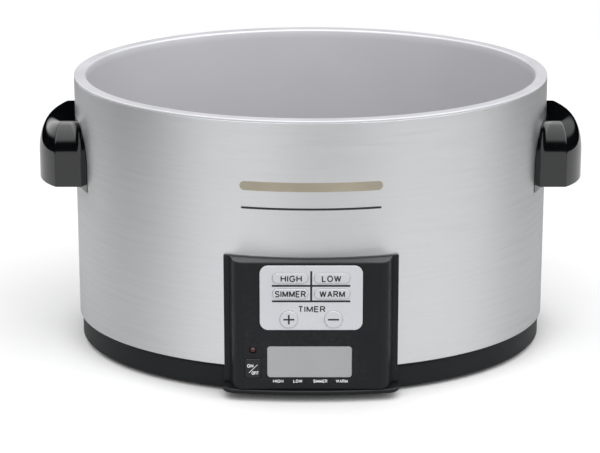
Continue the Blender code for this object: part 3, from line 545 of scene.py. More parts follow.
def combine(piece, tools, operation):
    """Join or cut a piece with tool pieces, which are used up."""
    for tool in tools:
        modifier = piece.modifiers.new(operation.lower(), "BOOLEAN")
        modifier.operation = operation
        modifier.solver = "EXACT"
        modifier.object = tool
    bake(piece)
    for tool in tools:
        drop(tool)
    return clean(piece)


def join(piece, *tools):
    return combine(piece, tools, "UNION")


def cut(piece, *tools):
    return combine(piece, tools, "DIFFERENCE")


def rounded(points, radius, steps, closed=True):
    """Turn each corner of a flat outline into an arc. A third number is a corner's own radius."""
    outline = []
    for i, (u, v, *own) in enumerate(points):
        size = own[0] if own else radius
        if size == 0 or (not closed and i in (0, len(points) - 1)):
            outline.append((u, v))
            continue
        here = Vector((u, v))
        back = Vector(points[i - 1][:2]) - here
        ahead = Vector(points[(i + 1) % len(points)][:2]) - here
        half = back.angle(ahead) / 2
        reach = min(size / math.tan(half), 0.49 * back.length, 0.49 * ahead.length)
        size = reach * math.tan(half)
        centre = here + (back.normalized() + ahead.normalized()).normalized() * (size / math.sin(half))
        start = here + back.normalized() * reach - centre
        end = here + ahead.normalized() * reach - centre
        swing = start.angle(end)
        for step in range(steps + 1):
            share = step / steps
            arm = start * math.sin((1 - share) * swing) + end * math.sin(share * swing)
            outline.append(tuple(centre + arm / math.sin(swing)))
    return outline


def rounded_rect(size, centre=(0.0, 0.0), grow=0.0, steps=8):
    """Outline of a rectangle (width, height, corner radius), grown by an even margin."""
    width, height, radius = size
    half_u, half_v = width / 2 + grow, height / 2 + grow
    points = [(centre[0] + u * half_u, centre[1] + v * half_v)
              for u, v in ((1, 1), (-1, 1), (-1, -1), (1, -1))]
    return rounded(points, radius + grow, steps)


def circle(radius, centre=(0.0, 0.0), segments=32):
    turns = (2 * math.pi * i / segments for i in range(segments))
    return [(centre[0] + radius * math.cos(a), centre[1] + radius * math.sin(a)) for a in turns]


def box(name, low, high):
    shape = bmesh.new()
    bmesh.ops.create_cube(shape, size=1.0)
    for vert in shape.verts:
        vert.co = Vector([(a if c < 0 else b) * MM for a, b, c in zip(low, high, vert.co)])
    return add_shape(name, shape)


def lathe(name, profile, at=(0.0, 0.0, 0.0), axis=(0, 0, 1), segments=48, closed=False):
    """A profile of (radius, height) points turned about an axis."""
    turn = Vector((0, 0, 1)).rotation_difference(Vector(axis)).to_matrix()
    shape = bmesh.new()
    rings = []
    for radius, height in profile:
        count = segments if radius > 0.0001 else 1
        ring = circle(radius, segments=count)
        rings.append([shape.verts.new((turn @ Vector((u, v, height)) + Vector(at)) * MM) for u, v in ring])
    pairs = list(zip(rings, rings[1:]))
    if closed:
        pairs.append((rings[-1], rings[0]))
    for first, second in pairs:
        for i in range(segments):
            k = (i + 1) % segments
            loop = [first[i % len(first)], first[k % len(first)],
                    second[k % len(second)], second[i % len(second)]]
            face = list(dict.fromkeys(loop))
            if len(face) > 2:
                shape.faces.new(face)
    return clean(add_shape(name, shape))


def rod(name, radius, start, end, segments=32):
    along = Vector(end) - Vector(start)
    profile = [(0.0, 0.0), (radius, 0.0), (radius, along.length), (0.0, along.length)]
    return lathe(name, profile, start, along.normalized(), segments)


def plate(name, loops, low, high, edge=0.0, axis="Z"):
    """A flat outline with holes and rounded edges. Axis Z: (x, y) outlines. Axis Y: (x, z) outlines."""
    curve = bpy.data.curves.new(name, "CURVE")
    curve.dimensions = "2D"
    curve.fill_mode = "BOTH"
    curve.extrude = ((high - low) / 2 - edge) * MM
    curve.bevel_depth = edge * MM
    curve.bevel_resolution = 3
    curve.offset = -edge * MM
    for loop in loops:
        spline = curve.splines.new("POLY")
        spline.points.add(len(loop) - 1)
        spline.use_cyclic_u = True
        for point, (u, v) in zip(spline.points, loop):
            point.co = (u * MM, v * MM, 0.0, 1.0)
    drawn = add_piece(name + "_outline", curve)
    mesh = evaluated_mesh(drawn, name)
    drop(drawn)
    middle = (low + high) / 2 * MM
    if axis == "Y":
        mesh.transform(Matrix.Translation((0, middle, 0)) @ Matrix.Rotation(math.pi / 2, 4, "X"))
    else:
        mesh.transform(Matrix.Translation((0, 0, middle)))
    return clean(add_piece(name, mesh), 0.00001)


def skin(name, rings):
    """A closed body over rings of 3-D points that share one count."""
    shape = bmesh.new()
    made = [[shape.verts.new(Vector(p) * MM) for p in ring] for ring in rings]
    for first, second in zip(made, made[1:]):
        for i in range(len(first)):
            k = (i + 1) % len(first)
            shape.faces.new((first[i], first[k], second[k], second[i]))
    shape.faces.new(reversed(made[0]))
    shape.faces.new(made[-1])
    return clean(add_shape(name, shape))


# ---------------------------------------------------------------- oval shapes
def oval_point(inset, angle):
    return ((HALF_WIDTH - inset) * math.cos(angle), (HALF_DEPTH - inset) * math.sin(angle))


def oval_x(inset, y):
    """Half-width of the oval at a depth y."""
    return (HALF_WIDTH - inset) * math.sqrt(1 - (y / (HALF_DEPTH - inset)) ** 2)


def oval_front(inset, x):
    """Depth of the oval's front at a place x across."""
    return -(HALF_DEPTH - inset) * math.sqrt(1 - (x / (HALF_WIDTH - inset)) ** 2)


def oval_outline(inset):
    return [oval_point(inset, 2 * math.pi * i / AROUND) for i in range(AROUND)]


def oval_row(inset, height):
    return [(x, y, height) for x, y in oval_outline(inset)]


def around(inset, angle):
    """The four mirrored places on the oval at an angle, given in degrees."""
    turn = math.radians(angle)
    return [oval_point(inset, t) for t in (turn, math.pi - turn, math.pi + turn, -turn)]


def oval_sweep(name, profile, finish, closed=True):
    """A profile of (inset, height) points carried round the oval, mapped in metres."""
    points = list(profile)
    if closed:
        points.append(points[0])
    length = 0.0
    rows = []
    for i, (inset, height) in enumerate(points):
        if i:
            length += math.dist(points[i - 1], points[i])
        rows.append((inset, length, height))
    piece = add_points(name, rows)
    run_tree(piece, SWEEP, half_width=HALF_WIDTH * MM, half_depth=HALF_DEPTH * MM, facets=AROUND,
             finish=FINISHES[finish])
    return clean(piece)


def strip(name, pairs, thickness, side=1):
    """A thickened strip between a lower and an upper row of points, given in pairs."""
    points = [point for pair in pairs for point in pair]
    piece = add_points(name, points, [(i, i + 2, i + 3, i + 1) for i in range(0, len(points) - 2, 2)])
    solid = piece.modifiers.new("thickness", "SOLIDIFY")
    solid.thickness = thickness * MM
    solid.offset = side
    return piece


def curved_sheet(name, inset, thickness, low, high, half_x, edge, back=False, steps=48):
    """A strip of sheet along the front or back of the oval, thickened outwards, with rounded edges."""
    side = -1 if back else 1
    pairs = []
    for i in range(steps + 1):
        x = half_x * (2 * i / steps - 1)
        y = side * oval_front(inset, x)
        pairs.append(((x, y, low), (x, y, high)))
    piece = strip(name, pairs, thickness, side)
    piece.modifiers["thickness"].use_even_offset = True
    bevel = piece.modifiers.new("edges", "BEVEL")
    bevel.width = edge * MM
    bevel.segments = 3
    bevel.angle_limit = math.radians(50)
    return clean(bake(piece))


def repeat(name, item, points, finish, turn=(0.0, 0.0, 0.0), twist=0.0):
    """One mesh that holds the item at every point. The item is used up."""
    piece = add_points(name, points)
    run_tree(piece, REPEAT, item=item, turn=turn, twist=twist, finish=FINISHES[finish])
    drop(item)
    return piece


# ---------------------------------------------------------------- handing pieces over
def hand_over(piece, finish, nodes=(), body="base"):
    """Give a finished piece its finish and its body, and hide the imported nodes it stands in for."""
    piece.data.materials.clear()
    piece.data.materials.append(FINISHES[finish])
    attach(piece, body)
    if nodes:
        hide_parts(*nodes)
    return piece


# ---------------------------------------------------------------- body
def make_sleeve():
    """Brushed wrap with its openings, and the seam at the rear."""
    low, high = SLEEVE_LOW.z, SLEEVE_EDGE
    profile = rounded([(0.0, low), (0.0, high), (SLEEVE_WALL, high), (SLEEVE_WALL, low)], 0.25, 3)
    sleeve = oval_sweep("steel_wrap", profile, "stainless")
    half = BOX_HALF + GAP
    tools = [box("opening", (-half, OUTSIDE, 0), (half, -100, PANEL_TOP + GAP)),
             rod("cord_hole", CORD_HOLE, (0, 110, GLAND_Z), (0, 140, GLAND_Z))]
    for side in (-1, 1):
        for y in (-SCREW_Y, SCREW_Y):
            tools.append(rod("hole", HANDLE_SCREW_HOLE, (side * 140, y, SCREW_Z), (side * 170, y, SCREW_Z)))
    cut(sleeve, *tools)
    hand_over(fair(sleeve), "stainless", ["outer_sleeve"])
    seam = curved_sheet("wrap_seam", -0.02, 0.3, 54.0, high - 0.4, 6.0, 0.12, back=True, steps=16)
    map_front(seam)
    hand_over(fair(seam), "stainless")


def map_front(piece):
    """Map a nearly flat piece by its place across and its height, in metres."""
    layer = piece.data.uv_layers.new(name="run")
    for loop in piece.data.loops:
        place = piece.data.vertices[loop.vertex_index].co
        layer.data[loop.index].uv = (place.x, place.z)


def make_well():
    """Pressed pan: a flat rim with rounded edges, a drafted wall and a beaded floor."""
    floor = WELL_UNDERSIDE + WELL_WALL
    top = RIM_TOP

    def wall(height, sheet=0.0):
        return RIM_WIDTH + (top - height) * WELL_DRAFT - sheet

    inner = [(HALF_DEPTH, floor), (76.0, floor), (73.5, floor + 0.9, 1.5), (68.5, floor + 0.9, 1.5),
             (66.0, floor, 2.0), (wall(floor), floor, 16.0), (RIM_WIDTH, top, 1.4), (0.0, top, 1.4),
             (0.0, SLEEVE_EDGE + 0.03, 0.2)]
    sheet = WELL_WALL
    outer = [(sheet, SLEEVE_EDGE + 0.03, 0.2), (sheet, top - sheet, 0.2),
             (wall(top - sheet, sheet), top - sheet, 0.6),
             (wall(floor - sheet, sheet), floor - sheet, 16.5), (66.0, floor - sheet, 2.0),
             (68.5, floor, 1.5), (73.5, floor, 1.5), (76.0, floor - sheet), (HALF_DEPTH, floor - sheet)]
    profile = rounded(inner + outer, 2.0, 6, closed=False)
    well = oval_sweep("well_pan", profile, "well_coating", closed=False)
    hand_over(fair(well), "well_coating", ["heating_well"])


def make_base():
    """Moulded ring with the sleeve's seat, and the lip that carries the panel."""
    profile = [(3.4, 2.0, 0.5), (1.9, 3.5, 0.8), (1.9, 16.8, 1.0), (0.2, 18.7, 0.25), (1.2, 18.7, 0.0),
               (1.2, 30.0), (3.4, 30.0), (3.9, 8.1), (16.0, 8.1), (16.0, 5.5), (5.4, 5.5, 0.0), (5.4, 2.0)]
    ring = oval_sweep("base_moulding", rounded(profile, 0.35, 3), "black_satin")
    join(ring, plate("lip", [tongue_outline()], TONGUE_LOW, TONGUE_TOP, 0.9))
    half = BOX_HALF + GAP
    tools = [box("panel_seat", (-half, OUTSIDE, TONGUE_TOP), (half, -100, 40)),
             skin("plate_recess", [oval_row(5.4, 0.0), oval_row(5.4, 5.5)])]
    tools += [rod("hole", SMALL_SCREW_HOLE, (x, y, 0), (x, y, 12)) for x, y in around(*SCREW_PLACE)]
    cut(ring, *tools)
    hand_over(fair(ring), "black_satin", ["base_ring"])


def tongue_outline():
    """Front lip under the panel: a shallow arc with rounded corners."""
    front = corners("base_ring")[0].y
    straight = TONGUE_HALF - TONGUE_CORNER
    points = []
    for i in range(25):
        x = straight * (2 * i / 24 - 1)
        points.append((x, front + TONGUE_SAG * (x / TONGUE_HALF) ** 2))
    base = points[-1][1] + TONGUE_CORNER
    for step in range(1, 9):
        angle = math.pi / 2 * (step / 8 - 1)
        points.append((straight + TONGUE_CORNER * math.cos(angle), base + TONGUE_CORNER * math.sin(angle)))
    points.append((TONGUE_HALF, -109.0))
    left = [(-x, y) for x, y in points if x > straight]
    return points + left[::-1]


# ---------------------------------------------------------------- underside
def make_bottom_plate():
    """Vented plate with the power board's posts."""
    loops = [oval_outline(5.8), circle(TIE_HOLE)]
    loops += [circle(FOOT_HOLE, place) for place in around(*FOOT_PLACE)]
    loops += [circle(SMALL_SCREW_HOLE, place) for place in around(*SCREW_PLACE)]
    bottom = plate("underside_plate", loops, FLOOR_LOW, FLOOR_HIGH, 0.25)
    slot = plate("slot", [rounded_rect(VENT_SIZE)], -2.0, 2.0)
    places = [(side * VENT_AT[0], VENT_AT[1] + VENT_STEP * row, (FLOOR_LOW + FLOOR_HIGH) / 2)
              for side in (-1, 1) for row in range(4)]
    cut(bottom, clean(repeat("slots", slot, places, "black_satin")))
    posts = []
    for x in (-76.0, -12.0):
        for y in (11.0, 51.0):
            profile = rounded([(0.0, 15.0), (1.2, 15.0), (1.2, 11.7), (3.0, 11.7), (3.0, 4.2), (0.0, 4.2)],
                              0.2, 2, closed=False)
            posts.append(lathe("post", profile, (x, y, 0.0), segments=24))
    join(bottom, *posts)
    hand_over(fair(bottom), "black_satin", ["bottom_plate"])


def cross_recess(head, depth=0.9, length=3.4, width=0.7):
    """Two crossed slots below a screw head's lowest face."""
    half, arm = width / 2, length / 2
    return [box("recess", (-arm, -half, head - 1), (arm, half, head + depth)),
            box("recess", (-half, -arm, head - 1), (half, arm, head + depth))]


def make_feet_and_screws():
    """Rubber feet, the plate's four screws and the centre bolt."""
    foot = rounded([(0.0, 7.3), (2.0, 7.3), (3.0, 5.5), (1.9, 5.5, 0.0), (1.9, 3.3, 0.0), (8.5, 3.3),
                    (8.5, 0.6, 0.8), (7.6, 0.0, 0.4), (6.2, 0.0, 0.2), (5.8, 0.5, 0.2), (5.0, 0.5, 0.2),
                    (4.6, 0.0, 0.2), (0.0, 0.0)], 0.3, 3, closed=False)
    feet = repeat("feet", lathe("foot", foot), [(x, y, 0.0) for x, y in around(*FOOT_PLACE)],
                  "black_rubber")
    hand_over(fair(feet), "black_rubber", [f"foot_{n}" for n in range(1, 5)])
    head = 1.9
    screw = [(0.0, 10.0), (1.5, 10.0), (1.5, 3.3, 0.0), (3.0, 3.3), (3.0, 2.3, 0.6), (2.2, head, 0.5),
             (0.0, head)]
    item = cut(lathe("screw", rounded(screw, 0.15, 3, closed=False)), *cross_recess(head))
    screws = repeat("plate_screws", item, [(x, y, 0.0) for x, y in around(*SCREW_PLACE)],
                    "zinc_steel", twist=math.pi)
    hand_over(fair(screws), "zinc_steel", [f"base_screw_{n}" for n in range(1, 5)])
    bolt = [(0.0, 41.2), (2.0, 41.2, 0.4), (2.0, 3.3, 0.0), (4.5, 3.3), (4.5, 2.1, 0.5), (3.6, 1.6, 0.3),
            (0.0, 1.6)]
    stud = lathe("centre_bolt", rounded(bolt, 0.2, 3, closed=False))
    socket = plate("socket", [circle(2.0, segments=6)], 0.0, 2.6)
    hand_over(fair(cut(stud, socket)), "zinc_steel", ["tie_bolt"])


def make_handle_screws():
    for label, side in (("left", -1), ("right", 1)):
        profile = [(0.0, 10.5), (1.5, 10.5), (1.5, 0.0, 0.0), (3.5, 0.0), (3.5, -1.4, 0.6), (2.4, -2.0, 0.4),
                   (0.0, -2.0)]
        item = cut(lathe("screw", rounded(profile, 0.15, 3, closed=False), segments=32),
                   *cross_recess(-2.0))
        places = [(side * 152.4, y, SCREW_Z) for y in (-SCREW_Y, SCREW_Y)]
        screws = repeat(f"handle_screws_{label}", item, places, "zinc_steel",
                        turn=(0.0, side * math.pi / 2, 0.0), twist=math.pi)
        hand_over(fair(screws), "zinc_steel", [f"handle_screw_{label}_{n}" for n in (1, 2)])


# ---------------------------------------------------------------- handles
def handle_ring(height, wall=0.0, shrink=0.0):
    """Plan of the right handle at a height, inset by a wall thickness."""
    rise = (height + wall - SHOULDER) / (HANDLE_HIGH.z - SHOULDER)
    drop_in = 1 - math.sqrt(1 - min(max(rise, 0.0), 1.0) ** 2)
    root = ROOT_HALF - ROOT_DRAW * drop_in - shrink
    cheek = CHEEK_HALF - CHEEK_DRAW * drop_in - wall - shrink
    edge_x = EDGE_X - EDGE_DRAW * drop_in - 0.5 * wall - shrink
    reach = HANDLE_HIGH.x - REACH_DRAW * drop_in - wall - shrink
    if wall:
        half = [(oval_x(-GAP - wall, cheek), cheek, 0.0)]
        root = cheek
    else:
        root_x = oval_x(-GAP, root)
        half = []
        for step in range(11):
            angle = math.pi / 2 * step / 10
            half.append((root_x + ROOT_FLARE * (1 - math.cos(angle)),
                         cheek + (root - cheek) * (1 - math.sin(angle)), 0.0))
    bulge = reach - edge_x
    radius = (bulge ** 2 + cheek ** 2) / (2 * bulge)
    start = math.asin(cheek / radius)
    for step in range(12):
        angle = start * (1 - step / 12)
        soft = 1.2 if step == 0 else 0.0
        half.append((reach - radius + radius * math.cos(angle), radius * math.sin(angle), soft))
    other = [(x, -y, soft) for x, y, soft in reversed(half)]
    behind = [(oval_x(-GAP - wall, y), y, 0.0) for y in (root * (2 * i / 16 - 1) for i in range(1, 16))]
    outline = rounded(half + [(reach, 0.0, 0.0)] + other + behind, 0.0, 4)
    return [(x, y, height) for x, y in outline]


def make_handle(label, side):
    """Hollow grip that is open below, with two screw bosses. The left one is a mirror image."""
    low, high = HANDLE_LOW.z, HANDLE_HIGH.z
    rings = [handle_ring(low, shrink=0.5), handle_ring(low + 0.15, shrink=0.15), handle_ring(low + 0.5)]
    rings += [handle_ring(SHOULDER + (high - SHOULDER) * math.sin(math.pi / 2 * step / 18))
              for step in range(19)]
    shell = skin(f"grip_{label}", rings)
    hollow = [handle_ring(low - 5.0, HANDLE_WALL)]
    for step in range(9):
        height = SHOULDER + (high - SHOULDER) * math.sin(math.pi / 2 * step / 8)
        hollow.append(handle_ring(height - HANDLE_WALL, HANDLE_WALL))
    cut(shell, skin("hollow", hollow))
    bosses = []
    holes = []
    for y in (-SCREW_Y, SCREW_Y):
        start = oval_x(-GAP, y) + 1.5
        bosses.append(rod("boss", BOSS_RADIUS, (start, y, SCREW_Z), (165, y, SCREW_Z)))
        holes.append(rod("hole", SMALL_SCREW_HOLE, (150, y, SCREW_Z), (163.5, y, SCREW_Z)))
    join(shell, *bosses)
    cut(shell, *holes)
    if side < 0:
        shell.data.transform(Matrix.Scale(-1, 4, (1, 0, 0)))
        clean(shell)
    hand_over(fair(shell), "black_gloss", [f"handle_{label}"])


# ---------------------------------------------------------------- control panel
def panel_outline(corner, half, root_half, front, back, root_y):
    """Plan of the housing: flat front, rounded vertical corners, leaning flanks."""
    right = [(root_half, back), (root_half, root_y)]
    for step in range(13):
        angle = -math.pi / 2 * step / 12
        right.append((half - corner + corner * math.cos(angle), front + corner + corner * math.sin(angle)))
    return right + [(-x, y) for x, y in reversed(right)]


def make_housing():
    """Hollow panel moulding, its bezel along the sleeve and the control board's posts."""
    body = panel_outline(PANEL_CORNER, PANEL_HALF, PANEL_ROOT_HALF, FACE_Y, -105.0, -116.5)
    housing = plate("panel_moulding", [body], PANEL_BOTTOM, PANEL_TOP, 0.7)
    surface = skin("sleeve_surface", [oval_row(-GAP, 0.0), oval_row(-GAP, 120.0)])
    cut(housing, surface)
    bezel = curved_sheet("bezel", -GAP, 2.0, PANEL_BOTTOM, BEZEL_TOP, BEZEL_HALF, 0.5)
    join(housing, box("rear_box", (-BOX_HALF, -125.0, PANEL_BOTTOM), (BOX_HALF, -115.5, PANEL_TOP)), bezel)
    inner_front = FACE_Y + PANEL_WALL
    inner_half = BOX_HALF - PANEL_WALL
    cavity = panel_outline(PANEL_CORNER - PANEL_WALL, inner_half, inner_half, inner_front, -110.0, -118.0)
    cut(housing, plate("cavity", [cavity], PANEL_BOTTOM + PANEL_WALL, PANEL_TOP - PANEL_WALL))
    seat = KEYPAD_HIGH.y + GAP
    openings = [(KEYPAD_SIZE, KEYPAD_AT, seat), (DISPLAY_SIZE, DISPLAY_AT, OPENING_DEPTH),
                (POWER_SIZE, POWER_AT, OPENING_DEPTH)]
    openings += [(size, place, OPENING_DEPTH) for _, place, size in KEYS]
    tools = [plate("opening", [rounded_rect(size, place, GAP)], OUTSIDE, back, axis="Y")
             for size, place, back in openings]
    tools.append(rod("led_hole", LAMP_HOLE, (LED_AT[0], OUTSIDE, LED_AT[1]),
                     (LED_AT[0], OPENING_DEPTH, LED_AT[1])))
    cut(housing, *tools)
    posts = []
    for x in (-42.5, 42.5):
        for z in (47.0, 86.0):
            profile = [(0.0, 11.5), (1.2, 11.5), (1.2, 8.2), (2.4, 8.2), (2.4, 0.0), (0.0, 0.0)]
            posts.append(lathe("post", profile, (x, inner_front - 0.1, z), (0, 1, 0), 24))
    join(housing, *posts)
    hand_over(fair(housing), "black_satin", ["control_housing"])


def make_keypad():
    loops = [rounded_rect(KEYPAD_SIZE, KEYPAD_AT)]
    loops += [rounded_rect(size, place, KEY_GAP) for _, place, size in KEYS]
    keypad = plate("keypad_frame", loops, KEYPAD_LOW.y, KEYPAD_HIGH.y, 0.3, "Y")
    hand_over(fair(keypad), "keypad_silver", ["keypad_plate"])


def make_key(name, place, size, face, edge):
    """A cap with softened edges, a retaining flange and a stem."""
    x, z = place
    flange = FACE_Y + PANEL_WALL + GAP
    cap = plate(name, [rounded_rect(size, place)], face, flange + 0.5, edge, "Y")
    ring = plate("flange", [rounded_rect(size, place, 1.0)], flange, flange + 1.2, 0.0, "Y")
    stem = rod("stem", 1.2, (x, flange + 0.6, z), (x, -124.9, z), 24)
    return fair(join(cap, ring, stem))


def make_keys():
    for label, place, size in KEYS:
        key = make_key(f"cap_{label}", place, size, KEY_FACE, 0.35)
        hand_over(key, "key_silver", [f"key_{label}"], f"key_{label}")
    power = make_key("cap_power", POWER_AT, POWER_SIZE, POWER_FACE, 0.35)
    hand_over(power, "key_black", ["power_button"], "power_button")


def make_display():
    front = corners("display_window")[0].y
    seat = FACE_Y + PANEL_WALL + GAP
    lens = plate("display_lens", [rounded_rect(DISPLAY_SIZE, DISPLAY_AT)], front, seat + 0.4, 0.45, "Y")
    rim = plate("rim", [rounded_rect(DISPLAY_SIZE, DISPLAY_AT, 1.5)], seat, seat + 0.8, 0.0, "Y")
    hand_over(fair(join(lens, rim)), "display_lens", ["display_window"])


def make_lamp():
    low, high = corners("power_led")
    depth = high.y - low.y
    dome = [(0.0, depth)]
    for step in range(1, 9):
        angle = math.pi / 2 * step / 8
        dome.append((2.0 * math.sin(angle), depth - 1.5 * (1 - math.cos(angle))))
    dome += [(2.0, 1.6), (2.6, 1.6), (2.6, 0.0), (0.0, 0.0)]
    lamp = lathe("power_lamp", dome, (LED_AT[0], high.y, LED_AT[1]), (0, -1, 0))
    hand_over(fair(lamp), "led_red", ["power_led"])


# ---------------------------------------------------------------- printed marks
def bow(x, z, half_x, half_z, start, end, steps):
    """Points of an arc between two angles in degrees."""
    turns = [math.radians(start + (end - start) * step / steps) for step in range(steps + 1)]
    return [(x + half_x * math.cos(turn), z + half_z * math.sin(turn)) for turn in turns]


# Letters as stroke paths on a field one unit high: the width, then the paths.
LETTERS = {
    "A": (0.68, [[(0.0, 0.0), (0.34, 1.0)], [(0.34, 1.0), (0.68, 0.0)], [(0.12, 0.33), (0.56, 0.33)]]),
    "E": (0.56, [[(0.56, 1.0), (0.0, 1.0), (0.0, 0.0), (0.56, 0.0)], [(0.0, 0.52), (0.5, 0.52)]]),
    "F": (0.52, [[(0.52, 1.0), (0.0, 1.0), (0.0, 0.0)], [(0.0, 0.52), (0.46, 0.52)]]),
    "G": (0.76, [bow(0.39, 0.5, 0.39, 0.5, 40, 318, 14) + [(0.76, 0.46), (0.44, 0.46)]]),
    "H": (0.66, [[(0.0, 0.0), (0.0, 1.0)], [(0.66, 0.0), (0.66, 1.0)], [(0.0, 0.52), (0.66, 0.52)]]),
    "I": (0.0, [[(0.0, 0.0), (0.0, 1.0)]]),
    "L": (0.5, [[(0.0, 1.0), (0.0, 0.0), (0.5, 0.0)]]),
    "M": (0.78, [[(0.0, 0.0), (0.0, 1.0)], [(0.78, 0.0), (0.78, 1.0)],
                 [(0.03, 0.97), (0.39, 0.04)], [(0.39, 0.04), (0.75, 0.97)]]),
    "N": (0.66, [[(0.0, 0.0), (0.0, 1.0)], [(0.66, 0.0), (0.66, 1.0)], [(0.02, 0.96), (0.64, 0.04)]]),
    "O": (0.76, [bow(0.38, 0.5, 0.38, 0.5, 0, 180, 10), bow(0.38, 0.5, 0.38, 0.5, 180, 360, 10)]),
    "R": (0.62, [[(0.0, 0.0), (0.0, 1.0), (0.36, 1.0)] + bow(0.36, 0.75, 0.25, 0.25, 80, -80, 6)
                 + [(0.36, 0.5), (0.0, 0.5)], [(0.36, 0.5), (0.62, 0.0)]]),
    "S": (0.58, [bow(0.29, 0.755, 0.29, 0.245, 20, 262, 9) + bow(0.29, 0.255, 0.29, 0.255, 82, -160, 9)]),
    "T": (0.58, [[(0.0, 1.0), (0.58, 1.0)], [(0.29, 0.0), (0.29, 1.0)]]),
    "W": (0.96, [[(0.0, 1.0), (0.24, 0.0)], [(0.24, 0.0), (0.48, 1.0)], [(0.48, 1.0), (0.72, 0.0)],
                 [(0.72, 0.0), (0.96, 1.0)]]),
}
LETTER_GAP = 0.33         # between the middles of two letters' nearest strokes
LETTER_STROKE = 0.22


def stroke_sides(path, half):
    """Left and right edges of a path of even width, with cut corners where it turns sharply."""
    points = [Vector(point) for point in path]
    ways = [(b - a).normalized() for a, b in zip(points, points[1:])]
    left, right = [], []
    for i, point in enumerate(points):
        before, after = ways[max(i - 1, 0)], ways[min(i, len(ways) - 1)]
        across = Vector((-(before.y + after.y), before.x + after.x)).normalized()
        lean = max(across.dot(Vector((-after.y, after.x))), 0.62)
        left.append(point + across * (half / lean))
        right.append(point - across * (half / lean))
    return left, right


def add_stroke(shape, path, width, face):
    """A flat closed ribbon of ink along a path of (x, z) points."""
    left, right = stroke_sides(path, width / 2)
    rows = []
    for edge in (left, right):
        for y in (face - INK / 2, face + INK / 2):
            rows.append([shape.verts.new(Vector((p.x, y, p.y)) * MM) for p in edge])
    front_l, back_l, front_r, back_r = rows
    for i in range(len(path) - 1):
        for one, two in ((front_l, front_r), (front_r, back_r), (back_r, back_l), (back_l, front_l)):
            shape.faces.new((one[i], one[i + 1], two[i + 1], two[i]))
    shape.faces.new((front_l[0], front_r[0], back_r[0], back_l[0]))
    shape.faces.new((back_l[-1], back_r[-1], front_r[-1], front_l[-1]))


def print_paths(name, paths, face, finish, body):
    """Ink ribbons on a flat face, each (path, width)."""
    shape = bmesh.new()
    for path, width in paths:
        add_stroke(shape, path, width, face)
    bmesh.ops.recalc_face_normals(shape, faces=shape.faces)
    return hand_over(add_shape(name, shape), finish, (), body)


def print_text(name, text, box_x, box_z, face, finish, body="base"):
    """Lettering fitted between two places across and two heights on a flat face."""
    tall = (box_z[1] - box_z[0]) / (1 + LETTER_STROKE)
    width = tall * LETTER_STROKE
    drawn = []
    at = 0.0
    for letter in text:
        wide, paths = LETTERS[letter]
        drawn += [[(at + x, z) for x, z in path] for path in paths]
        at += wide + LETTER_GAP
    stretch = (box_x[1] - box_x[0] - width) / (at - LETTER_GAP)
    left, low = box_x[0] + width / 2, box_z[0] + width / 2
    fitted = [([(left + x * stretch, low + z * tall) for x, z in path], width) for path in drawn]
    return print_paths(name, fitted, face, finish, body)


def print_strokes(name, strokes, face, finish, body="base"):
    """Straight strokes of even width on a flat face, each (x, z, x, z, width)."""
    paths = [([(x1, z1), (x2, z2)], width) for x1, z1, x2, z2, width in strokes]
    return print_paths(name, paths, face, finish, body)


def make_panel_print():
    """Function labels, the lines between the keys and the guide under the display."""
    plate_face = KEYPAD_LOW.y
    lines = [(-24.9, 79.1, 24.8, 79.1), (-24.9, 68.7, 24.8, 68.7), (0.0, 69.2, 0.0, 78.6),
             (0.0, 79.6, 0.0, 88.9)]
    print_strokes("print_lines", [(*line, LINE_WIDTH) for line in lines], plate_face, "ink_black")
    print_text("print_timer", "TIMER", (-8.3, 9.0), (61.3, 65.5), plate_face, "ink_black")
    for label, box_x, box_z in (("high", (-19.4, -5.9), (81.8, 86.2)), ("low", (6.7, 19.0), (81.8, 86.2)),
                                ("simmer", (-23.0, -3.4), (71.5, 75.9)),
                                ("warm", (5.2, 21.4), (71.5, 75.9))):
        print_text(f"print_{label}", label.upper(), box_x, box_z, KEY_FACE, "ink_black", f"key_{label}")
    places = {label: place for label, place, _ in KEYS}
    x, z = places["plus"]
    print_strokes("print_plus", [(x - 3.5, z, x - 0.55, z, 1.1), (x + 0.55, z, x + 3.5, z, 1.1),
                                 (x, z - 3.2, x, z + 3.2, 1.1)], KEY_FACE, "ink_black", "key_plus")
    x, z = places["minus"]
    print_strokes("print_minus", [(x - 3.5, z, x + 3.5, z, 1.1)], KEY_FACE, "ink_black", "key_minus")
    for label, box_x in (("high", (-24.4, -17.8)), ("low", (-11.4, -5.6)), ("simmer", (1.4, 10.4)),
                         ("warm", (15.9, 23.4))):
        print_text(f"guide_{label}", label.upper(), box_x, (13.1, 15.3), FACE_Y, "ink_white")
    x, z = POWER_AT
    print_text("print_on", "ON", (x - 3.7, x + 0.3), (z + 0.6, z + 3.0), POWER_FACE, "ink_white",
               "power_button")
    print_text("print_off", "OFF", (x - 0.9, x + 3.7), (z - 4.3, z - 1.9), POWER_FACE, "ink_white",
               "power_button")
    print_strokes("print_slash", [(x - 2.6, z - 3.0, x + 2.9, z + 2.6, 0.35)], POWER_FACE, "ink_white",
                  "power_button")


def make_sleeve_print():
    """Plain rounded bars where a maker would put a badge."""
    for name, middle, half_x, half_z, finish in (("badge_bar", 141.3, 45.3, 3.0, "ink_gold"),
                                                 ("badge_line", 126.8, 44.5, 0.7, "ink_black")):
        steps = 64
        pairs = []
        for i in range(steps + 1):
            x = -half_x * math.cos(math.pi * i / steps)
            over = max(abs(x) - (half_x - half_z), 0.0)
            tall = math.sqrt(max(half_z ** 2 - over ** 2, 0.0001))
            y = oval_front(-0.01, x)
            pairs.append(((x, y, middle - tall), (x, y, middle + tall)))
        bar = clean(bake(strip(name, pairs, INK)), 0.000001)
        hand_over(bar, finish)


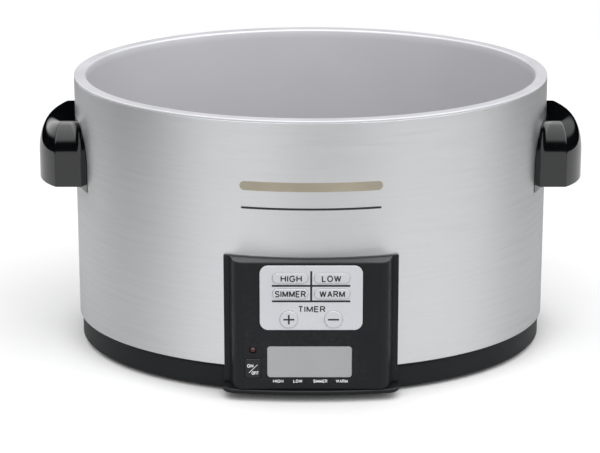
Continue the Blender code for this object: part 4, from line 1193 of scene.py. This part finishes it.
# ---------------------------------------------------------------- cord entry
def make_gland():
    """Cord entry: a flanged bush with a ribbed nose."""
    inner, outer = 114.0, -corners("base_ring")[0].y
    shell = HALF_DEPTH + GAP
    profile = [(5.6, outer, 0.5), (7.0, outer - 1.0, 0.6), (7.4, shell + 7.0), (6.9, shell + 6.4),
               (6.9, shell + 5.4), (7.5, shell + 4.8), (7.5, shell + 3.6), (7.0, shell + 3.0),
               (7.2, shell + 2.2, 0.4), (10.0, shell + 1.8, 0.8), (10.0, shell), (6.0, shell, 0.0),
               (6.0, 121.9, 0.0), (8.0, 121.9), (8.0, 119.4), (6.0, inner), (3.75, inner), (3.75, outer)]
    gland = lathe("cord_bush", rounded(profile, 0.25, 3), (0, 0, GLAND_Z), (0, 1, 0), 64, True)
    hand_over(fair(gland), "black_rubber", ["cord_gland"])


# ---------------------------------------------------------------- studio
WHITE = (1.0, 1.0, 1.0)
FLOOR_RADIUS = 850.0
FRONT_BANK = 2.75         # strength of the side and front light
TOP_BANK = 1.1


def make_floor():
    """A pale floor, duller in reflections than to the camera."""
    rim = [(x, y, 0.0) for x, y in circle(FLOOR_RADIUS, segments=96)]
    floor = add_points("floor", rim, [tuple(range(len(rim)))])
    material, tree, shader = start_finish("pale_floor", 0.9, 0.0, Specular_IOR_Level=0.0)
    place = tree.nodes.new("ShaderNodeTexCoord").outputs["Object"]
    surface = use_group(tree, GRAIN, vector=place, size=0.004, mottle_size=0.2)
    pale = mix(tree, surface["Mottle"], tone(WHITE, 0.655), tone(WHITE, 0.685))
    seen = tree.nodes.new("ShaderNodeLightPath").outputs["Is Camera Ray"]
    tree.links.new(mix(tree, seen, tone(WHITE, 0.34), pale), shader["Base Color"])
    floor.data.materials.append(material)


def ramp(tree, value, stops):
    """A grey ramp through (place, level) stops."""
    node = put(tree, "ShaderNodeValToRGB", {0: value})
    elements = node.color_ramp.elements
    elements[0].position, elements[1].position = stops[0][0], stops[-1][0]
    for place, _ in stops[1:-1]:
        elements.new(place)
    for element, (_, level) in zip(elements, stops):
        element.color = (level, level, level, 1.0)
    return node.outputs[0]


def make_dome():
    """Soft studio dome: a front bank with two bright sides, a top bank, and a dark back.

    The camera itself sees it plain white."""
    world = bpy.data.worlds.new("studio")
    bpy.context.scene.world = world
    world.use_nodes = True
    tree = world.node_tree
    shader = tree.nodes["Background"]
    way = put(tree, "ShaderNodeSeparateXYZ",
              {0: tree.nodes.new("ShaderNodeTexCoord").outputs["Generated"]}).outputs
    azimuth = calc(tree, "ARCTAN2", way[0], calc(tree, "MULTIPLY", way[1], -1.0))
    share = calc(tree, "MULTIPLY_ADD", azimuth, 0.5 / math.pi, 0.5)
    sides = ramp(tree, share, [(0.0, 0.0), (0.07, 0.0), (0.115, 0.85), (0.25, 0.10), (0.31, 0.25),
                               (0.38, 0.90), (0.45, 0.88), (0.5, 0.45), (0.55, 0.58), (0.60, 0.88),
                               (0.71, 0.95), (0.79, 0.30), (0.90, 0.16), (0.94, 0.0), (1.0, 0.0)])
    height = calc(tree, "MULTIPLY_ADD", way[2], 0.5, 0.5)
    front = ramp(tree, height, [(0.0, 0.0), (0.48, 0.0), (0.51, 0.55), (0.65, 0.8), (0.80, 1.0), (1.0, 1.0)])
    top = ramp(tree, height, [(0.0, 0.0), (0.80, 0.0), (0.88, 0.8), (1.0, 0.8)])
    bank = calc(tree, "MULTIPLY", calc(tree, "MULTIPLY", sides, front), FRONT_BANK)
    light = calc(tree, "MULTIPLY_ADD", top, TOP_BANK, bank)
    seen = tree.nodes.new("ShaderNodeLightPath").outputs["Is Camera Ray"]
    level = put(tree, "ShaderNodeMix", {0: seen, 2: light, 3: 1.0}, data_type="FLOAT").outputs[0]
    tree.links.new(level, shader.inputs["Strength"])
    shader.inputs["Color"].default_value = (*WHITE, 1.0)


def make_camera():
    """A long lens from the front, looking a little down, in metres."""
    data = bpy.data.cameras.new("camera")
    data.lens = 154.9
    data.sensor_width = 36.0
    camera = bpy.data.objects.new("camera", data)
    camera.location = (-0.0071, -1.6727, 0.6247)
    camera.rotation_euler = (math.radians(71.81), 0.0, 0.0)
    bpy.context.scene.collection.objects.link(camera)
    bpy.context.scene.camera = camera
    bpy.context.scene.view_settings.view_transform = "Standard"


set_packed_finishes_aside()
SWEEP = oval_sweep_tree()
REPEAT = repeat_tree()
FINISHES = make_finishes()
finish_cad_nodes()
make_camera()
make_floor()
make_dome()
make_sleeve()
make_well()
make_base()
make_bottom_plate()
make_feet_and_screws()
make_handle_screws()
make_handle("left", -1)
make_handle("right", 1)
make_housing()
make_keypad()
make_keys()
make_display()
make_lamp()
make_panel_print()
make_sleeve_print()
make_gland()
